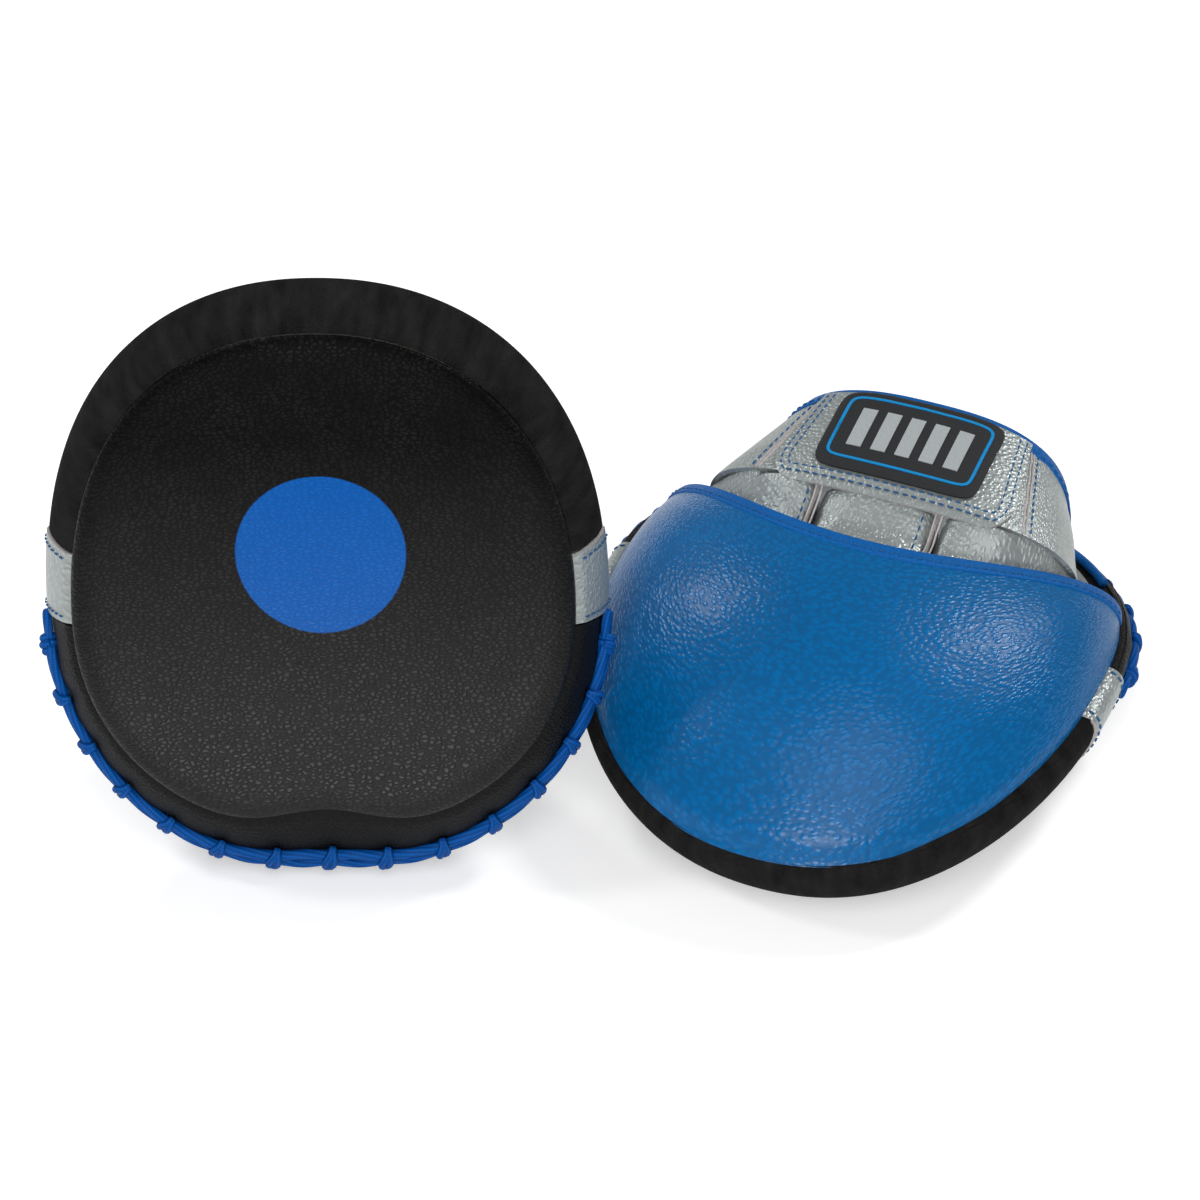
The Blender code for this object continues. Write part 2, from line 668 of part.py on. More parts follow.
def mesh_of_tubes(name, runs, radius):
    """A mesh of tubes with welded caps, made from a curve."""
    curve = tube_curve(name, runs, radius)
    holder = bpy.data.objects.new(name, curve)
    bpy.context.scene.collection.objects.link(holder)
    graph = bpy.context.evaluated_depsgraph_get()
    mesh = bpy.data.meshes.new_from_object(holder.evaluated_get(graph))
    bpy.data.objects.remove(holder)
    shape = bmesh.new()
    shape.from_mesh(mesh)
    bmesh.ops.remove_doubles(shape, verts=shape.verts, dist=1e-6)
    bmesh.ops.recalc_face_normals(shape, faces=shape.faces)
    shape.to_mesh(mesh)
    shape.free()
    return mesh


def add_helper(mitt, name, mesh):
    helper = bpy.data.objects.new(f"{mitt.name}_{name}", mesh)
    helper.parent = mitt.pad
    helper.hide_render = True
    helper.display_type = "WIRE"
    collection_named("helpers").objects.link(helper)
    return helper


def unite(obj, helper):
    union = obj.modifiers.new("union", "BOOLEAN")
    union.operation = "UNION"
    union.solver = "EXACT"
    union.object = helper


def add_lace(mitt):
    near, far, hitches, ends = [], [], [], []
    angles = lace_angles()
    for step, angle in enumerate(angles):
        here, depth, normal = wall_frame(angle)
        between = math.sin(math.pi * step / LACE_STEPS_PER_HITCH) ** 2
        spread = LACE_SPREAD + LACE_LENS * between
        centre = here + normal * (LACE_RADIUS + SEAT_GAP)
        near.append(centre - depth * spread)
        far.append(centre + depth * spread)
        if step in (0, len(angles) - 1):
            ends.append(here + normal * (KNOT_RADIUS + SEAT_GAP))
        elif step % LACE_STEPS_PER_HITCH == 0:
            arch = []
            for turn in np.linspace(0, math.pi, 5):
                rise = HITCH_RADIUS + SEAT_GAP + 1.7 * LACE_RADIUS * math.sin(turn)
                arch.append(here + depth * HITCH_HALF_SPAN * math.cos(turn) + normal * rise)
            hitches.append(mitt.points(arch, mitt.pad))

    strand = mesh_of_tubes("lace", [mitt.points(near, mitt.pad)], LACE_RADIUS)
    lace = mitt.add("lace", strand, mitt.pad, BLUE_LACE)
    second = mesh_of_tubes("lace second strand", [mitt.points(far, mitt.pad)], LACE_RADIUS)
    unite_later = [add_helper(mitt, "lace_second_strand", second)]
    arches = mesh_of_tubes("lace hitches", hitches, HITCH_RADIUS)
    unite_later.append(add_helper(mitt, "lace_hitches", arches))
    knots = bmesh.new()
    for place in mitt.points(ends, mitt.pad):
        shift = Matrix.Translation(Vector(place))
        bmesh.ops.create_uvsphere(knots, u_segments=8, v_segments=6, radius=KNOT_RADIUS, matrix=shift)
    knot_mesh = bpy.data.meshes.new("lace knots")
    knots.to_mesh(knot_mesh)
    knots.free()
    unite_later.append(add_helper(mitt, "lace_knots", knot_mesh))
    for helper in unite_later:
        unite(lace, helper)


def add_mitt(name, hand, pair):
    mitt = Mitt(name, hand, pair)
    add_pad(mitt)
    add_rim(mitt)
    add_lace(mitt)
    add_hood(mitt)
    add_glove(mitt)
    add_badge(mitt)
    add_palm(mitt)
    stalls = (("index_stall", INDEX_TIP_Y), ("middle_stall", MIDDLE_TIP_Y), ("little_stall", LITTLE_TIP_Y))
    for slot, (stall, tip_y) in enumerate(stalls):
        add_stall(mitt, stall, STALL_SEAMS_X[slot], STALL_SEAMS_X[slot + 1], tip_y)
    return mitt


def evaluated_points(objects):
    graph = bpy.context.evaluated_depsgraph_get()
    found = []
    for obj in objects:
        evaluated = obj.evaluated_get(graph)
        mesh = evaluated.to_mesh()
        local = np.array([v.co for v in mesh.vertices])
        evaluated.to_mesh_clear()
        turn = np.array(evaluated.matrix_world)
        found.append(local @ turn[:3, :3].T + turn[:3, 3])
    return np.concatenate(found)


def stand_up(lean, yaw):
    """Turn for a mitt that stands on its wrist end, leaning back, with its face along -Y at a half turn of yaw."""
    upright = Matrix.Rotation(math.pi / 2, 4, "X") @ Matrix.Rotation(math.pi, 4, "Y")
    return Matrix.Rotation(yaw - math.pi, 4, "Z") @ Matrix.Rotation(-lean, 4, "X") @ upright


def standing_lean(mitt):
    """Lean at which the wrist rim and the cuff touch the floor together."""
    cuff = evaluated_points([o for o in mitt.nodes if o.parent is mitt.glove])
    pad = evaluated_points([o for o in mitt.nodes if o.parent is mitt.pad])
    low, high = math.radians(-30), math.radians(60)
    for _ in range(40):
        lean = (low + high) / 2
        up = np.array(stand_up(lean, math.pi))[2, :3]
        if (cuff @ up).min() > (pad @ up).min():
            low = lean
        else:
            high = lean
    return lean


def set_down(mitt, turn, place):
    """Places a turned mitt with its lowest point on the floor."""
    mitt.pad.matrix_basis = turn
    bpy.context.view_layer.update()
    lowest = evaluated_points(mitt.nodes)[:, 2].min()
    mitt.pad.matrix_basis = Matrix.Translation((*place, -lowest)) @ turn
    bpy.context.view_layer.update()


def main():
    for obj in list(bpy.data.objects):
        bpy.data.objects.remove(obj)
    pair = bpy.data.objects.new("pair_frame", None)
    parts_collection().objects.link(pair)
    right = add_mitt("right", 1, pair)
    left = add_mitt("left", -1, pair)
    bpy.context.view_layer.update()

    lean = standing_lean(left)
    print("standing lean, degrees:", round(math.degrees(lean), 2))
    set_down(right, Matrix.Rotation(RIGHT_YAW, 4, "Z"), RIGHT_PLACE)
    set_down(left, stand_up(lean, LEFT_YAW), LEFT_PLACE)

    corners = evaluated_points(right.nodes + left.nodes)
    middle = (corners.min(axis=0) + corners.max(axis=0)) / 2
    pair.location = (-middle[0], -middle[1], 0.0)
    bpy.context.view_layer.update()


if __name__ == "__main__":
    main()
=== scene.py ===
"""Dresses a pair of focus mitts: leather, suede, tape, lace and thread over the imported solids.

Each mitt is laid out flat, with X across, Y towards the fingers and Z out of the back. Then it is bent over
an arc and put where its hinges say. Lengths are in metres.
"""

import json
import math

import bpy
import numpy as np
from bpy.props import FloatProperty, FloatVectorProperty, PointerProperty
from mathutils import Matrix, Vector, noise


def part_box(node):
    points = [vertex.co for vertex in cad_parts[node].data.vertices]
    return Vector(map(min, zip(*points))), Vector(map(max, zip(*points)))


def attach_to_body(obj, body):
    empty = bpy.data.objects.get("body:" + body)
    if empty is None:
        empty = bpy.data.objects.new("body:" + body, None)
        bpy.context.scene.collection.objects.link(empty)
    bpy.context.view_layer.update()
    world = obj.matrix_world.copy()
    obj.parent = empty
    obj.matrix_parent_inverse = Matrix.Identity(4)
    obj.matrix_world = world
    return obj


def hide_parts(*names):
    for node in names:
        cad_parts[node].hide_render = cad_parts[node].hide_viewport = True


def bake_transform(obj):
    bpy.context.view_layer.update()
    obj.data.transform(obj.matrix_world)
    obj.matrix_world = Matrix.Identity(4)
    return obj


bl_info = {
    "name": "Focus mitts",
    "version": (1, 0, 0),
    "blender": (4, 5, 0),
    "location": "View3D > Sidebar > Mitts",
    "description": "Makes the leather, tape, lace and thread of a pair of focus mitts",
    "category": "Object",
}

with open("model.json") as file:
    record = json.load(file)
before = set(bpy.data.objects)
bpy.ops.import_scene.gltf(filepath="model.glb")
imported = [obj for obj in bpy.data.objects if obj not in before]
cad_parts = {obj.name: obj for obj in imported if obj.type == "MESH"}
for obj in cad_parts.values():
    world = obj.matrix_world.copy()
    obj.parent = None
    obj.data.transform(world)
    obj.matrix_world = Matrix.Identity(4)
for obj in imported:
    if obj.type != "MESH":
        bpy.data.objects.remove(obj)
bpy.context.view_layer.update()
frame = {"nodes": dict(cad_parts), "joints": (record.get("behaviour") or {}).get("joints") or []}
SIDES = ("right", "left")
HALF_PI = math.pi / 2
UP = (0.0, 0.0, 1.0)

# Step that turns a direction into a second point.
NUDGE = 0.001

# Pad outline and wall, as in the solids.
PAD_HALF_WIDTH = 0.100
PAD_FINGER_REACH = 0.125
PAD_WRIST_REACH = 0.103
OUTLINE_CENTRE_Y = -0.008
OUTLINE_CENTRE = (0.0, OUTLINE_CENTRE_Y, 0.0)
OUTLINE_POWER = 2.15
OUTLINE_STEP = 0.004
SEAM_SIDE_INSET = 0.010
SEAM_FINGER_INSET = 0.004
SEAM_WRIST_INSET = 0.0145
NOTCH_DEPTH = 0.009
NOTCH_HALF_WIDTH = 0.024
NOTCH_AT_REST = 0.7
PAD_THICKNESS = 0.033
FACE_ROLL_DEPTH = 0.006
FACE_ROLL_WIDTH = 0.012
FACE_CROWN = 0.0012
WALL_DEPTH = PAD_THICKNESS - FACE_ROLL_DEPTH
RIM_LEATHER = 0.0016
RIM_BELLY = 0.0030
WRIST_BELLY = 0.0040
BEND_RADIUS = 0.340
FACE_FINGER_Y = OUTLINE_CENTRE_Y + PAD_FINGER_REACH - SEAM_FINGER_INSET
FACE_WRIST_Y = OUTLINE_CENTRE_Y - PAD_WRIST_REACH + SEAM_WRIST_INSET + NOTCH_AT_REST * NOTCH_DEPTH
BEND_CENTRE_Y = (FACE_FINGER_Y + FACE_WRIST_Y) / 2
SEAT_GAP = 0.0003
SIDE_GAP = 0.0008

# Modelled leather: its share of the solid's thickness, the angle from which an edge stays sharp, and how near
# to each other a tube's points are merged.
MODELLED = 0.9
SHARP_ANGLE = math.radians(50)
MERGE_DISTANCE = 1e-6

# How full each padded piece is, as a share.
FACE_FILL = 0.9
HOOD_FILL = 0.8
BACKHAND_FILL = 0.5
LINING_FILL = 0.4
RUBBER_FILL = 0.1

# Face and back. In a pair of shares, a change starts at the first and runs over the second.
FACE_LEATHER = 0.0014
FACE_FLAT_SHARE = 0.84
FACE_TUCK = 0.0020
FACE_SLACK = (0.8, 0.2)
BACK_LEATHER = 0.0015
BACK_INSET = 0.0004
FLOOR_CLEARANCE = 0.00005

# Rim bands, which wrap from the back over a rounded edge and down to the face seam.
PATCH_FRONT_Y = 0.017
PATCH_REAR_Y = -0.014
PATCH_PROUD = 0.0007
EDGE_ROUND = 0.0045
BACK_LIFT = 0.0005
HOOD_WRAP = 0.0120
WRIST_WRAP = 0.0046
BAND_GAP = math.radians(0.25)
BAND_ROWS = 32
BAND_END = 0.994
BAND_TUCK = 0.0021
BAND_TUCK_RUN = (0.90, 0.10)
ROLL_SWELL = 0.0008
ROLL_PINCH = 0.0009
ROLL_PINCH_SHARE = 0.16

# Hood.
HOOD_CORNER_Y = -0.044
HOOD_LIP_Y = -0.002
HOOD_RISE = 0.035
HOOD_LEATHER = 0.0020
HOOD_EDGE_INSET = 0.003
HOOD_SIDE_INSET = 0.007
HOOD_BINDING_RADIUS = 0.0024
HOOD_SPAN = 0.120
HOOD_RUN = 0.130
HOOD_FALL_POWER = 2.2
HOOD_FULLNESS = 0.25
HOOD_TUCK = 0.0026
HOOD_TUCK_RUN = (0.94, 0.06)
HOOD_LINING = 0.0020
HOOD_LINING_GAP = 0.0007
LINING_START = 0.01
LINING_SHARE = 0.86
LIP_REACH = 0.985
LIP_DEPTH = 0.04
LIP_FLOOR = 0.0006

# Folded tapes: thickness, rise over the leather, and how far the fold and the sewn legs reach.
TAPE_THICKNESS = 0.0006
TAPE_RISE = 0.0007
TAPE_FOLD = 0.0030
TAPE_ROWS = 3
TAPE_STEP = 0.0016
LIP_TAPE_REACH = 0.0048
LIP_TAPE_HALF = 0.0010
CUFF_TAPE_REACH = 0.0042
CUFF_TAPE_HALF = 0.0009

# Hand pocket. Its arch is as wide and as high as these powers of a sine and a cosine.
ARCH_WIDTH_POWER = 0.75
ARCH_POWER = 0.55
KNUCKLE_Y = -0.027
KNUCKLE_HALF_WIDTH = 0.074
KNUCKLE_HEIGHT = 0.040
KNUCKLE_ROUND = 0.004
KNUCKLE_ROUND_HEIGHT = 0.0395
SIDE_SETBACK = 0.017
CUFF_BASE_Y = -0.081
CUFF_TOP_Y = -0.070
CUFF_HALF_WIDTH = 0.058
CUFF_HEIGHT = 0.053
CUFF_MIDDLE = (0.0, -0.08, 0.01)
CUFF_REACH = 0.97
CUFF_INSIDE = 0.93
GLOVE_BASE = 0.0022
GLOVE_LEATHER = 0.0018
GLOVE_MIDDLE = (0.0, -0.06, 0.015)
GLOVE_SPAN = 0.125
GLOVE_RUN = (0.012, 1.0)
BACKHAND_SHARE = 0.43
BACKHAND_FOLDS = 0.0003
SIDE_GAP_SHARE = 0.008
SIDE_FOLDS = 0.0013
PADDING_SHARE = 0.9
PADDING_RUN = (0.14, 0.95)
PADDING_LIFT = -0.0024
PADDING_THICKNESS = 0.0028
GUSSET_LEATHER = GLOVE_LEATHER * 0.8
GUSSET_REACH = 0.036
GUSSET_START = 0.03
GUSSET_LIFT = -0.0006
GUSSET_NARROWING = 0.12
GUSSET_NARROWING_POWER = 1.5
GUSSET_FOLDS = 0.0011
LIP_CLEARANCE = 0.0030
LIP_APPROACH = 0.013

# Flap over the backhand.
FLAP_LEATHER = 0.0014
FLAP_FRONT_Y = KNUCKLE_Y + 0.0025
FLAP_REAR_Y = CUFF_TOP_Y + 0.0015
FLAP_FRONT_HALF_WIDTH = 0.0475
FLAP_REAR_HALF_WIDTH = 0.0405
FLAP_CORNER = 0.010
FLAP_CORNER_SHARE = 0.28
FLAP_LIFT = 0.0004
FLAP_DROP = 0.0012
FLAP_DROP_SHARE = 0.12

# Finger stalls and the cut edges of their seams.
STALL_SEAMS_X = (-0.056, -0.022, 0.025, 0.056)
STALL_TIPS_Y = (0.064, 0.074, 0.048)
STALL_NAMES = ("index_stall", "middle_stall", "little_stall")
STALL_LEATHER = 0.0016
STALL_START_Y = KNUCKLE_Y + 0.0006
STALL_GAP = 0.0003
STALL_DIVE_Y = -0.017
STALL_DIVE_HEIGHT = 0.0315
STALL_DIVE_LIFT = 0.0012
STALL_BELLY = 0.002
STALL_TIP_HEIGHT = 0.016
STALL_TIP_RUN = (0.80, 0.20)
STALL_TIP_CLOSING = 0.96
STALL_WIDTH_POWER = 0.6
STALL_SIDE_POWER = 0.16
STALL_CROWN = 0.0012
STALL_FOLDS = 0.0010
STALL_GRAIN_STEP = 0.01
STALL_GRAIN_STRETCH = 1.1
FALL_SMEAR = 0.004
SEAM_EDGE_THICKNESS = 0.0006
SEAM_EDGE_WAVE = 0.0003
SEAM_EDGE_WAVE_SIZE = 0.006
STALL_EDGE_Y = (KNUCKLE_Y + 0.002, 0.010)
STALL_EDGE_GAP = 0.0005
STALL_EDGE_SINK = 0.0016
STALL_EDGE_LEAN = 0.28
STALL_EDGE_HEIGHT = 0.0025
GLOVE_EDGE_RUN = (0.02, 0.97)
GLOVE_SEAM_SHARE = BACKHAND_SHARE + SIDE_GAP_SHARE / 2
GLOVE_EDGE_SHARES = (GLOVE_SEAM_SHARE - 0.006, GLOVE_SEAM_SHARE + 0.012)
GLOVE_EDGE_LIFT = -0.0008
GLOVE_EDGE_HEIGHT = 0.0014

# Palm panel and badge.
PALM_FRONT_Y = -0.045
PALM_FRONT_HALF_WIDTH = 0.062
PALM_RIM_INSET = 0.0065
PALM_LEATHER = 0.0016
PALM_TAPE_RADIUS = 0.0018
PALM_TAPE_ROOM = 2 * PALM_TAPE_RADIUS + SEAT_GAP
PALM_REAR_Y = OUTLINE_CENTRE_Y - PAD_WRIST_REACH + PALM_RIM_INSET + PALM_TAPE_ROOM + 0.002
PALM_TAPE_HEIGHT = PALM_TAPE_RADIUS + SEAT_GAP * 0.3
BADGE_HALF_WIDTH = 0.031
BADGE_FRONT_Y = -0.031
BADGE_REAR_Y = -0.067
BADGE_MIDDLE_Y = (BADGE_FRONT_Y + BADGE_REAR_Y) / 2
BADGE_HALF_LENGTH = (BADGE_FRONT_Y - BADGE_REAR_Y) / 2
BADGE_POWER = 9.0
BADGE_RUBBER = 0.0016
BADGE_SEAT = 0.0022
BADGE_EDGE_DROP = 0.0006
BADGE_EDGE_RUN = (0.93, 0.07)
BADGE_LINE_INSET = 0.0036
BADGE_LINE_POWER = 11.0
BADGE_LINE_RADIUS = 0.0007
BADGE_LINE_SQUASH = 0.7
BADGE_LINE_LIFT = BADGE_SEAT + 0.0017
BAR_COUNT = 5
BAR_RUBBER = 0.0005
BAR_LIFT = BADGE_SEAT + 0.0015
BAR_HALF_SHARE = 0.30
BAR_PITCH = 2 * (BADGE_HALF_WIDTH - BADGE_LINE_INSET - 0.004) / BAR_COUNT
BAR_HALF_LENGTH = BADGE_HALF_LENGTH - BADGE_LINE_INSET - 0.0055

# Lace, in two strands with hitches and, at each end, a knot and a loop. Lifts, HITCH_RISE and KNOT_PITCH are
# shares of a cord's radius or, for the knot's lift, of its size.
LACE_RADIUS = 0.0019
LACE_SHARE = 0.36
LACE_SPREAD = 0.0021
LACE_LENS = 0.0013
LACE_LIFT = 0.72
LACE_ARCH = 0.0002
LACE_FRAME_STEP = 0.01
STRAND_SIDES = 12
CORD_SIDES = 10
LINE_SIDES = 8
STEPS_PER_HITCH = 10
HITCH_PITCH = 0.020
HITCH_RADIUS = 0.0015
HITCH_HALF_SPAN = 0.0054
HITCH_FOOT_TURN = 0.25
HITCH_LIFT = 0.7
HITCH_RISE = 1.45
HITCH_STEP = 0.0014
HITCH_SLANT = 0.0012
KNOT_RADIUS = 0.0042
KNOT_SIZE = 0.8 * (KNOT_RADIUS - HITCH_RADIUS)
KNOT_LIFT = 0.7
KNOT_LEAN = 0.0009
KNOT_PITCH = 0.8
LOOP_TURN = 0.85 * math.pi
LOOP_LIFT = 0.6
LOOP_REACH = 0.0065
LOOP_HALF_LENGTH = 0.0045
LOOP_HALF_WIDTH = 0.0024

# Step along the knot, in pitches, and size of each of its turns.
KNOT_TURNS = ((-2.1, 0.85), (0.0, 1.1), (2.1, 0.85))

# Rows of stitches: lift over the leather, inset from the edge, and the shares between which a row runs.
LIP_STITCH_LIFT = HOOD_LEATHER + 0.0008
LIP_STITCH_INSET = 0.0026
LIP_STITCH_TRIM = slice(4, -4)
FLAP_STITCH_LIFT = FLAP_LIFT + 0.0015
FLAP_STITCH_INSETS = (0.0022, 0.0050)
FLAP_STITCH_END = 0.98
FLAP_MEAN_HALF_WIDTH = 0.046
CUFF_STITCH_LIFT = 0.0008
CUFF_STITCH_REACH = 0.8
CUFF_STITCH_SHARE = 0.945
SIDE_STITCH_LIFT = 0.0002
SIDE_STITCH_SHARE = BACKHAND_SHARE + 0.045
SIDE_STITCH_RUN = (0.04, 0.94)
STALL_STITCH_LIFT = 0.0002
STALL_STITCH_Y = (KNUCKLE_Y + 0.003, 0.004)
STALL_STITCH_SHARE = -0.42
PATCH_STITCH_LIFT = PATCH_PROUD + 0.0004
PATCH_STITCH_MARGIN = 0.0026 / PAD_HALF_WIDTH
PATCH_STITCH_RUN = (0.20, 0.96)
STITCH_ROW_POINTS = 60
SAME_POINT = 1e-5

# Points along each run.
LACE_POINTS = 400
HITCH_POINTS = 15
KNOT_POINTS = 25
LOOP_POINTS = 31
LIP_POINTS = 141
CUFF_POINTS = 121
SEAM_EDGE_POINTS = 40
PALM_TAPE_POINTS = 120
BADGE_LINE_POINTS = 161

# Waves of the leathers: height, stretch of space, size and seed of each.
EVEN = (1.0, 1.0, 1.0)
FACE_WAVES = ((0.0005, EVEN, 0.034, 1), (0.0002, EVEN, 0.012, 5))
BAND_WAVES = ((0.0003, EVEN, 0.018, 7),)
HOOD_WAVES = ((0.0013, (1.0, 1.0, 0.4), 0.045, 2), (0.0003, EVEN, 0.016, 6))
GLOVE_WAVES = ((1.0, EVEN, 0.018, 3), (0.5, (1.0, 0.6, 1.0), 0.008, 12))
GUSSET_WAVES = ((1.0, (1.0, 0.7, 1.0), 0.012, 8), (0.6, EVEN, 0.006, 13))
STALL_WAVES = ((1.0, (1.0, 1.5, 1.0), 0.012, 4), (0.5, (1.4, 0.8, 1.0), 0.006, 9))
SEAM_EDGE_SEEDS = (9, 10, 11)

# Hinged body, and the two heights over the pad's middle that go with each sewn edge.
HINGED = {"hood_edge": ("hood", 0.000, 0.026), "glove_edge": ("glove", -0.008, 0.030)}

# Stage. Each lamp has a place, a width and a power.
LAMPS = {
    "key": ((0.1, -0.95, 1.45), 1.2, 9.0),
    "back left": ((-0.68, 0.95, 1.08), 0.30, 5.0),
    "left": ((-1.02, 0.1, 1.05), 0.26, 3.6),
    "back right": ((0.93, 0.55, 1.1), 0.30, 9.0),
    "front": ((-0.2, -1.4, 0.62), 0.50, 10.5),
}
LAMP_AIM = Vector((0.0, 0.0, 0.08))
SKY_LIGHT = 0.18
FLOOR_SIZE = 12.0
FLOOR_HEIGHT = -0.0004
FLOOR_GLOW = 0.34
FLOOR_GLOW_NEAR = 0.45
FLOOR_GLOW_FAR = 1.1
CAMERA_ELEVATION = math.radians(41.0)
CAMERA_DISTANCE = 1.5
CAMERA_LENS = 121.8
CAMERA_SENSOR = 36.0
CAMERA_AIM = Vector((0.0, 0.0, 0.0576))

# Sockets of a Mix node that mixes colours.
SHARE, DARK, LIGHT, MIXED = 0, 6, 7, 2


def linear(hex_colour):
    """Linear RGB of an sRGB colour written as six hex digits."""
    channels = [int(hex_colour[k : k + 2], 16) / 255 for k in (0, 2, 4)]
    return tuple(c / 12.92 if c <= 0.04045 else ((c + 0.055) / 1.055) ** 2.4 for c in channels)


def colour_property(name, hex_colour, description):
    return FloatVectorProperty(
        name=name,
        description=description,
        subtype="COLOR",
        size=3,
        min=0.0,
        max=1.0,
        default=linear(hex_colour),
    )


def length_property(name, metres, description):
    return FloatProperty(name=name, description=description, default=metres, min=0.0, unit="LENGTH")


class MittColours(bpy.types.PropertyGroup):
    """Colours of the leathers, tape, lace and thread"""

    face: colour_property("Face", "0B0B0B", "Pebbled leather of the striking face")
    target: colour_property("Target", "0055A6", "Round target printed on the face")
    suede: colour_property("Suede", "1A1919", "Suede of the rim and the back")
    hood: colour_property("Hood", "0062A0", "Leather of the finger hood")
    tape: colour_property("Tape", "005CA6", "Binding tape of the hood, cuff and palm")
    lace: colour_property("Lace", "004E9C", "Lace along the wrist")
    silver: colour_property("Silver", "9EA5A4", "Pearlised leather of the hand pocket")
    raw_edge: colour_property("Raw edge", "BDB8B7", "Cut edges of the pearlised leather")
    thread: colour_property("Thread", "1A5588", "Sewing thread")
    badge: colour_property("Badge", "232426", "Rubber of the badge")
    badge_line: colour_property("Badge line", "0082BE", "Raised line round the badge")
    badge_bar: colour_property("Badge bars", "9CA2A3", "Plain bars on the badge")
    lining: colour_property("Lining", "141415", "Lining of the hood and hand pocket")
    foam: colour_property("Foam", "CCC7BD", "Foam inside the pad")
    board: colour_property("Board", "877A68", "Backing board inside the pad")


class MittSizes(bpy.types.PropertyGroup):
    """Sizes of the finish that the solids leave open"""

    target_diameter: length_property("Target diameter", 0.0595, "Width of the printed target")
    target_y: length_property("Target place", 0.0176, "How far the target lies from the pad's middle")
    stitch_length: length_property("Stitch length", 0.0026, "Length of one stitch")
    stitch_gap: length_property("Stitch gap", 0.0009, "Gap between stitches")
    thread_radius: length_property("Thread radius", 0.00038, "Half the thickness of the thread")
    pebble: length_property("Pebble", 0.0016, "Width of one pebble of the face leather")
    hood_pebble: length_property("Hood pebble", 0.0019, "Width of one pebble of the hood leather")
    grain: length_property("Grain", 0.0011, "Width of the fine leather grain")


def colours():
    return bpy.context.scene.mitt_colours


def sizes():
    return bpy.context.scene.mitt_sizes


def clamp(x):
    return np.clip(x, 0, 1)


def smooth(x):
    x = clamp(x)
    return x * x * (3 - 2 * x)


def gone(x, start, width):
    """How far x has come past a start, as a share of a width."""
    return clamp((x - start) / width)


def mix(low, high, share):
    return low + (high - low) * share


def along_grid(u):
    """Share of the way along a grid whose coordinate goes from -1 to 1."""
    return (u + 1) / 2


def step_of(u, count):
    """Which of so many even steps each grid coordinate stands for."""
    return np.rint(along_grid(u) * (count - 1)).astype(int)


def signed_power(x, power):
    return np.sign(x) * np.abs(x) ** power


def unit(vectors):
    return vectors / np.linalg.norm(vectors, axis=-1, keepdims=True)


def run_lengths(points):
    """Distance from the start of a run to each of its points."""
    return np.concatenate([[0.0], np.cumsum(np.linalg.norm(np.diff(points, axis=0), axis=1))])


def raised(place, lift, *where):
    """Points over a leather and the ways out of it; the function that places them takes the lift last."""
    run = place(*where, lift)
    return run, unit(place(*where, lift + NUDGE) - run)


def edge_frame(here, inside, outward):
    """The ways into the leather from an edge, and the normals on the outward side."""
    into = unit(inside - here)
    normal = np.cross(np.gradient(here, axis=0), into)
    return into, unit(normal * np.sign((normal * outward).sum(1, keepdims=True)))


def ripple(points, size, seed):
    """Smooth noise from -1 to 1 at each point, with bumps of about the given size."""
    offset = Vector((seed * 7.3, seed * 3.1, seed * 1.7))
    return np.array([noise.noise(Vector(p) / size + offset) for p in points])


def waves(points, kinds, more_seed=0):
    """Sum of the given waves at each point."""
    return sum(
        height * ripple(points * stretch, size, seed + more_seed) for height, stretch, size, seed in kinds
    )


def upwards(flat):
    return np.tile(UP, (len(flat), 1))


def downwards(flat):
    return -upwards(flat)


def sideways(flat):
    away = flat - OUTLINE_CENTRE
    return away * (1, 1, 0) / np.linalg.norm(away[:, :2], axis=1, keepdims=True)


def disc(u, v):
    """Square grid coordinates to a disc's angle and radius."""
    x = u * np.sqrt(1 - v * v / 2)
    y = v * np.sqrt(1 - u * u / 2)
    return np.arctan2(y, x), clamp(np.hypot(x, y))


def rounded(angles, power):
    """Plan of a rounded rectangle that reaches 1 each way: the higher the power, the tighter its corners."""
    return signed_power(np.cos(angles), 2 / power), signed_power(np.sin(angles), 2 / power)


def pad_plan(angles, half_width, finger_reach, wrist_reach):
    """Plan of the pad, which reaches further towards the fingers than towards the wrist."""
    across, along = rounded(angles, OUTLINE_POWER)
    reach = np.where(along > 0, finger_reach, wrist_reach)
    return np.stack([half_width * across, OUTLINE_CENTRE_Y + reach * along], -1)


def seam_outline(angles):
    points = pad_plan(
        angles,
        PAD_HALF_WIDTH - SEAM_SIDE_INSET,
        PAD_FINGER_REACH - SEAM_FINGER_INSET,
        PAD_WRIST_REACH - SEAM_WRIST_INSET,
    )
    dip = NOTCH_DEPTH * np.exp(-((points[..., 0] / NOTCH_HALF_WIDTH) ** 2))
    points[..., 1] += np.where(np.sin(angles) < 0, dip, 0.0)
    return points


def wall_outline(angles, share):
    """Plan of the pad's side wall, at a share of the way from the back edge to the face seam."""
    back = pad_plan(angles, PAD_HALF_WIDTH, PAD_FINGER_REACH, PAD_WRIST_REACH)
    belly = mix(RIM_BELLY, WRIST_BELLY, clamp(-np.sin(angles)))
    bulge = 4 * share * (1 - share) * belly
    spread = np.stack([np.cos(angles), np.sin(angles)], -1)
    return mix(back, seam_outline(angles), share[..., None]) + spread * bulge[..., None]


